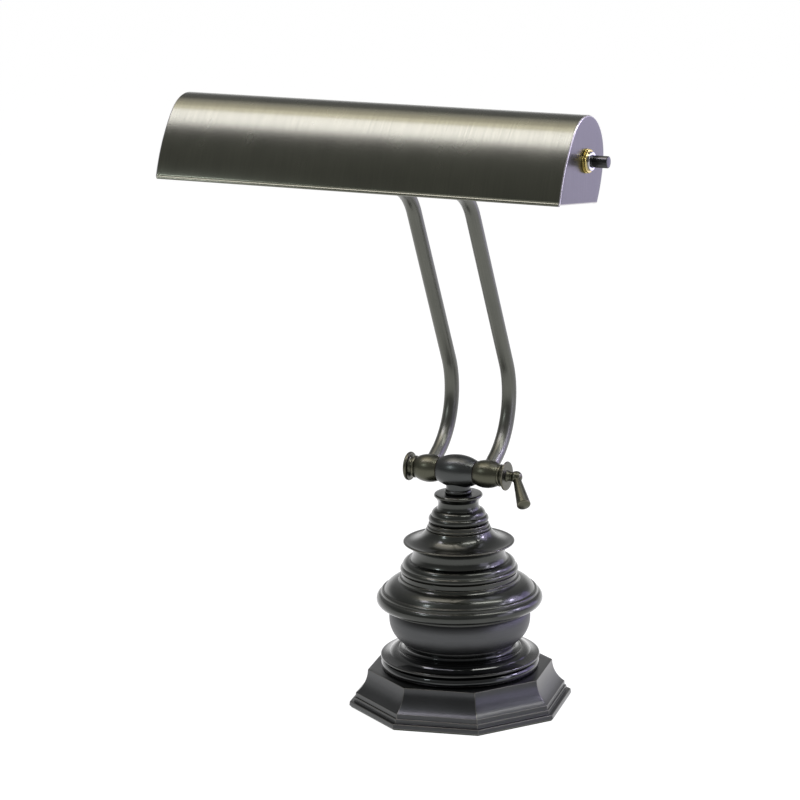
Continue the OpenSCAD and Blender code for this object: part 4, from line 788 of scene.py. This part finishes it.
def plain(name, dark, light, rough, metallic=0.0, grain_mm=1.0, grain=0.1, **extra):
    """A finish with a faint cloud of two tones and a grain of grain_mm. extra sets the shader's sockets."""
    material, tree, output = start(name)
    place = add(tree, "TexCoord").outputs["Object"]
    cloud = add(tree, "TexNoise", {"Scale": 1000 / HAZE_MM, "Detail": 2.0}, {"Vector": place})
    fine = add(tree, "TexNoise", {"Scale": 1000 / grain_mm, "Detail": 2.0}, {"Vector": place}).outputs["Fac"]
    tone = add(tree, "Mix", {6: colour(dark), 7: colour(light)}, {0: cloud.outputs["Fac"]}, data_type="RGBA")
    gloss = add(tree, "MapRange", {"To Min": max(rough - 0.04, 0.02), "To Max": rough + 0.04},
                {"Value": fine})
    relief = add(tree, "Bump", {"Strength": grain, "Distance": 0.2 * MM}, {"Height": fine})
    sockets = {"Metallic": metallic, **{key.replace("_", " "): value for key, value in extra.items()}}
    shader = add(tree, "BsdfPrincipled", sockets,
                 {"Base Color": tone.outputs[2], "Roughness": gloss.outputs["Result"],
                  "Normal": relief.outputs["Normal"]})
    tree.links.new(shader.outputs["BSDF"], output.inputs["Surface"])
    return material


# Brass that was only polished and lacquered: yellow, with a tight highlight.
polished_brass = plain("polished_brass", "#b5a45c", "#d2c27c", 0.16, 1.0, 0.6, 0.05)
# Chrome on brass: neutral and mirror-like.
chrome_plate = plain("chrome_plate", "#c9c9cf", "#dcdce0", 0.1, 1.0, 0.8, 0.03)
# Phenolic, moulded in polished steel: black with a glassy skin.
button_phenolic = plain("polished_phenolic", "#0b0b0c", "#121214", 0.18, 0.0, 1.0, 0.03)
# The same resin with a fine matt texture, for the lampholder, the switch and the bushing.
holder_phenolic = plain("matt_phenolic", "#161514", "#1f1d1c", 0.55, 0.0, 0.5, 0.25)
# Zinc-plated steel: pale grey, with a satin skin.
zinc_steel = plain("zinc_plated_steel", "#9a9a96", "#b4b4b0", 0.38, 1.0, 0.5, 0.15)
# Iron as it left the sand mould: dark, dull and rough.
raw_iron = plain("sand_cast_iron", "#3c3b39", "#555350", 0.75, 0.4, 1.2, 0.6)
# Vulcanised fibre: hard, waxy and brown.
fibre = plain("vulcanised_fibre", "#33291f", "#43372b", 0.6, 0.0, 0.4, 0.2)
# Wool felt: no gloss at all, and a soft sheen from the hairs.
felt = plain("wool_felt", "#2f3b27", "#445239", 0.95, 0.0, 0.8, 0.9, Sheen_Weight=0.3, Sheen_Roughness=0.5)
# Insulation of the single wires: smooth soft vinyl.
black_wire = plain("black_vinyl", "#121212", "#1b1b1b", 0.45, 0.0, 1.0, 0.05)
white_wire = plain("white_vinyl", "#dcd7ca", "#ece8dd", 0.45, 0.0, 1.0, 0.05)
# Aluminium screw base of the bulb.
base_metal = plain("spun_aluminium", "#b5b5b0", "#d0d0cb", 0.3, 1.0, 0.5, 0.1)
# Glass that was frosted inside: it passes light but shows nothing behind it.
frosted = plain("frosted_glass", "#eeeae0", "#f6f3ea", 0.35, 0.0, 1.5, 0.02, Transmission_Weight=0.35)

# %% [markdown]
# ## Who wears what
# Each new piece takes the finish of its part. CAD parts that stay as they are get theirs too.

# %% Give out the finishes
FINISH = {
    "foot_iron": foot_casting, "column_bronze": turned_casting, "bar_bronze": bar_metal,
    "arm_bronze": drawn_tube, "shade_bronze": brushed_sheet, "bare_iron": raw_iron, "bare_steel": zinc_steel,
    "brass": polished_brass, "chrome": chrome_plate, "bulb_metal": base_metal,
    "black_plastic": holder_phenolic, "black_gloss": button_phenolic, "fibre": fibre, "felt": felt,
    "frosted_glass": frosted, "black_wire": black_wire, "white_wire": white_wire}
# The arm eyes and the rivets stay as they are in CAD, without a "way" map, so they take a finish that
# does not draw its highlight out.
SPECIAL = {
    "left_cap_pressed": cap_sheet, "right_cap_pressed": cap_sheet, "bowl_turned": satin_casting,
    "pedestal_turned": dark_casting, "barrel_turned": barrel_metal, "collar_ring_turned": barrel_metal,
    "saddle": barrel_metal, "arm_eyes": bar_metal, "bracket_rivets": bar_metal}
wearers = {}
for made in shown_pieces():
    finish = FINISH[made["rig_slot"] if "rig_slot" in made else slot_of[made["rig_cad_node"]]]
    finish = SPECIAL.get(made.name, finish)
    if not made.material_slots:
        made.data.materials.append(None)
    for slot in made.material_slots:
        slot.link = "OBJECT"
        slot.material = finish
    wearers.setdefault(finish.name, []).append(made.name)
for name, names in wearers.items():
    print(name, "on", len(names), "pieces")

# %% [markdown]
# ## The studio
# The floor is white paper. The room is dim, a little lighter above, with a white background behind the
# lamp, and the camera itself sees white everywhere. One big bright room would be simpler, but metal
# only looks like metal when it mirrors light shapes among dark ones. So the lamps make the highlights.
# Four soft ones hang high above, to the shade's left, in a row from the front to the back, and each is
# dimmer than the one before: they draw the band along the shade and its fade. A long strip hangs
# overhead, cool lamps stand at the right and behind, and a small spot at each side sets the brightest
# points.

# %% Floor and room
studio = bpy.context.scene
floor_mesh = bpy.data.meshes.new("floor")
FLOOR_HALF = 60.0
floor_mesh.from_pydata([(x * FLOOR_HALF, y * FLOOR_HALF, 0) for x, y in ((-1, -1), (1, -1), (1, 1), (-1, 1))],
                       [], [(0, 1, 2, 3)])
floor = bpy.data.objects.new("floor", floor_mesh)
studio.collection.objects.link(floor)


def seen(tree):
    """1 for a ray that shows the background itself: the largest of three marks, for a ray that comes
    from the camera, off metal or through glass."""
    path = add(tree, "LightPath").outputs
    either = add(tree, "Math", None, {0: path["Is Camera Ray"], 1: path["Is Glossy Ray"]},
                 operation="MAXIMUM")
    largest = add(tree, "Math", None, {0: either.outputs[0], 1: path["Is Transmission Ray"]},
                  operation="MAXIMUM")
    return largest.outputs[0]


# The paper glows where the camera or the metal sees it, so it stays white, but it lights nothing itself.
PAPER_GLOW, GLOW_SHARE = 1.2, 0.8
paper, tree, output = start("white_paper")
matt = add(tree, "BsdfDiffuse", {"Color": colour("#f4f4f4")})
glow = add(tree, "Emission", {"Color": (1, 1, 1, 1), "Strength": PAPER_GLOW})
part_glow = add(tree, "Math", {1: GLOW_SHARE}, {0: seen(tree)}, operation="MULTIPLY")
both = add(tree, "MixShader", None, {0: part_glow.outputs[0], 1: matt.outputs[0], 2: glow.outputs[0]})
tree.links.new(both.outputs[0], output.inputs["Surface"])
floor_mesh.materials.append(paper)

world = bpy.data.worlds.new("studio")
studio.world = world
world.use_nodes = True
tree = world.node_tree
tree.nodes.clear()
BEHIND_LAMP = (-0.5, 0.87, 0)
ROOM_LOW, ROOM_HIGH, ON_MATT = 0.2, 0.34, 0.6  # brightness low and high up, share that matt surfaces get
toward = add(tree, "TexCoord").outputs["Generated"]
height = add(tree, "SeparateXYZ", None, {"Vector": toward}).outputs["Z"]
facing = add(tree, "VectorMath", {1: BEHIND_LAMP}, {0: toward}, operation="DOT_PRODUCT")
behind = add(tree, "MapRange", {"From Min": 0.0, "From Max": 0.7}, {"Value": facing.outputs["Value"]},
             interpolation_type="SMOOTHSTEP")
low = add(tree, "MapRange", {"From Min": 0.35, "From Max": 0.1}, {"Value": height},
          interpolation_type="SMOOTHSTEP")
backdrop = add(tree, "Math", None, {0: behind.outputs["Result"], 1: low.outputs["Result"]},
               operation="MULTIPLY")
walls = add(tree, "MapRange", {"From Max": 0.6, "To Min": ROOM_LOW, "To Max": ROOM_HIGH}, {"Value": height})
camera_ray = add(tree, "LightPath").outputs["Is Camera Ray"]
white = add(tree, "Math", None, {0: backdrop.outputs[0], 1: camera_ray}, operation="MAXIMUM")
room = add(tree, "Mix", {3: 1.0}, {0: white.outputs[0], 2: walls.outputs["Result"]})
to_all = add(tree, "Math", {1: 1 - ON_MATT, 2: ON_MATT}, {0: seen(tree)}, operation="MULTIPLY_ADD")
strength = add(tree, "Math", None, {0: room.outputs[0], 1: to_all.outputs[0]}, operation="MULTIPLY")
sky = add(tree, "Background", {"Color": (1, 1, 1, 1)}, {"Strength": strength.outputs[0]})
tree.links.new(sky.outputs[0], add(tree, "OutputWorld").inputs["Surface"])


# %% Lamps
def softbox(name, place, target, along, size, bright, tint):
    """A soft lamp at a place, aimed at a target, its first side laid towards `along`, all in metres.
    Its power is pi x area x brightness: at a brightness of 1 it looks like the white background."""
    out = (Vector(place) - Vector(target)).normalized()
    side = (Vector(along) - out * out.dot(Vector(along))).normalized()
    lamp = bpy.data.lights.new(name, "AREA")
    lamp.shape, lamp.size, lamp.size_y = "RECTANGLE", *size
    lamp.energy = math.pi * size[0] * size[1] * bright
    lamp.color = colour(tint)[:3]
    made = bpy.data.objects.new(name, lamp)
    made.matrix_world = Matrix.Translation(place) @ Matrix((side, out.cross(side), out)).transposed().to_4x4()
    made.visible_camera = False
    studio.collection.objects.link(made)
    print(f"{name}: {lamp.energy:.2f} W")


BELOW = Vector((0, 0, -1))
BAND_X, BAND_Z, BAND_SIZE = -0.42, 1.39, (0.90, 0.24)
for name, y, bright, tint in (
        ("band", -0.42, 10.0, "#f4efff"), ("band_fade", -0.18, 4.6, "#fff5ea"),
        ("band_faint", 0.06, 2.2, "#fff3e4"), ("band_end", 0.30, 1.1, "#fff6ee")):
    place = Vector((BAND_X, y, BAND_Z))
    softbox(name, place, place + BELOW, (1, 0, 0), BAND_SIZE, bright, tint)
softbox("overhead_strip", (0.70, -0.10, 1.60), (0, 0, 0.2), (0.75, 0.66, 0), (1.50, 0.18), 11.0, "#fbfaf6")
MIDDLE = (0, 0, 0.25)
for name, place, size, bright, tint in (
        ("side_strip", (1.38, 0.25, 0.80), (0.50, 0.18), 8.0, "#ece8ff"),
        ("cool", (1.10, 0.75, 0.75), (0.90, 0.70), 2.5, "#d8ccff"),
        ("side_low", (1.50, -0.05, 0.34), (0.60, 0.60), 2.0, "#e4deff"),
        ("back_top", (0.32, 0.55, 1.61), (0.60, 0.60), 1.6, "#ececff"),
        ("card", (0.62, 0.80, 0.36), (0.50, 0.50), 1.2, "#c4b4ff"),
        ("spot", (1.10, 0.64, 0.92), (0.16, 0.16), 40.0, "#e4dcff"),
        ("left_spot", (-0.28, -0.44, 0.53), (0.08, 0.08), 15.0, "#f2fbff")):
    softbox(name, place, MIDDLE, (1, 0, 0) if place[2] > 1.5 else (0, 0, 1), size, bright, tint)

# %% [markdown]
# ## The picture's colours
# The colours go into the picture without a film curve.

# %% Finish
studio.view_settings.view_transform = "Standard"
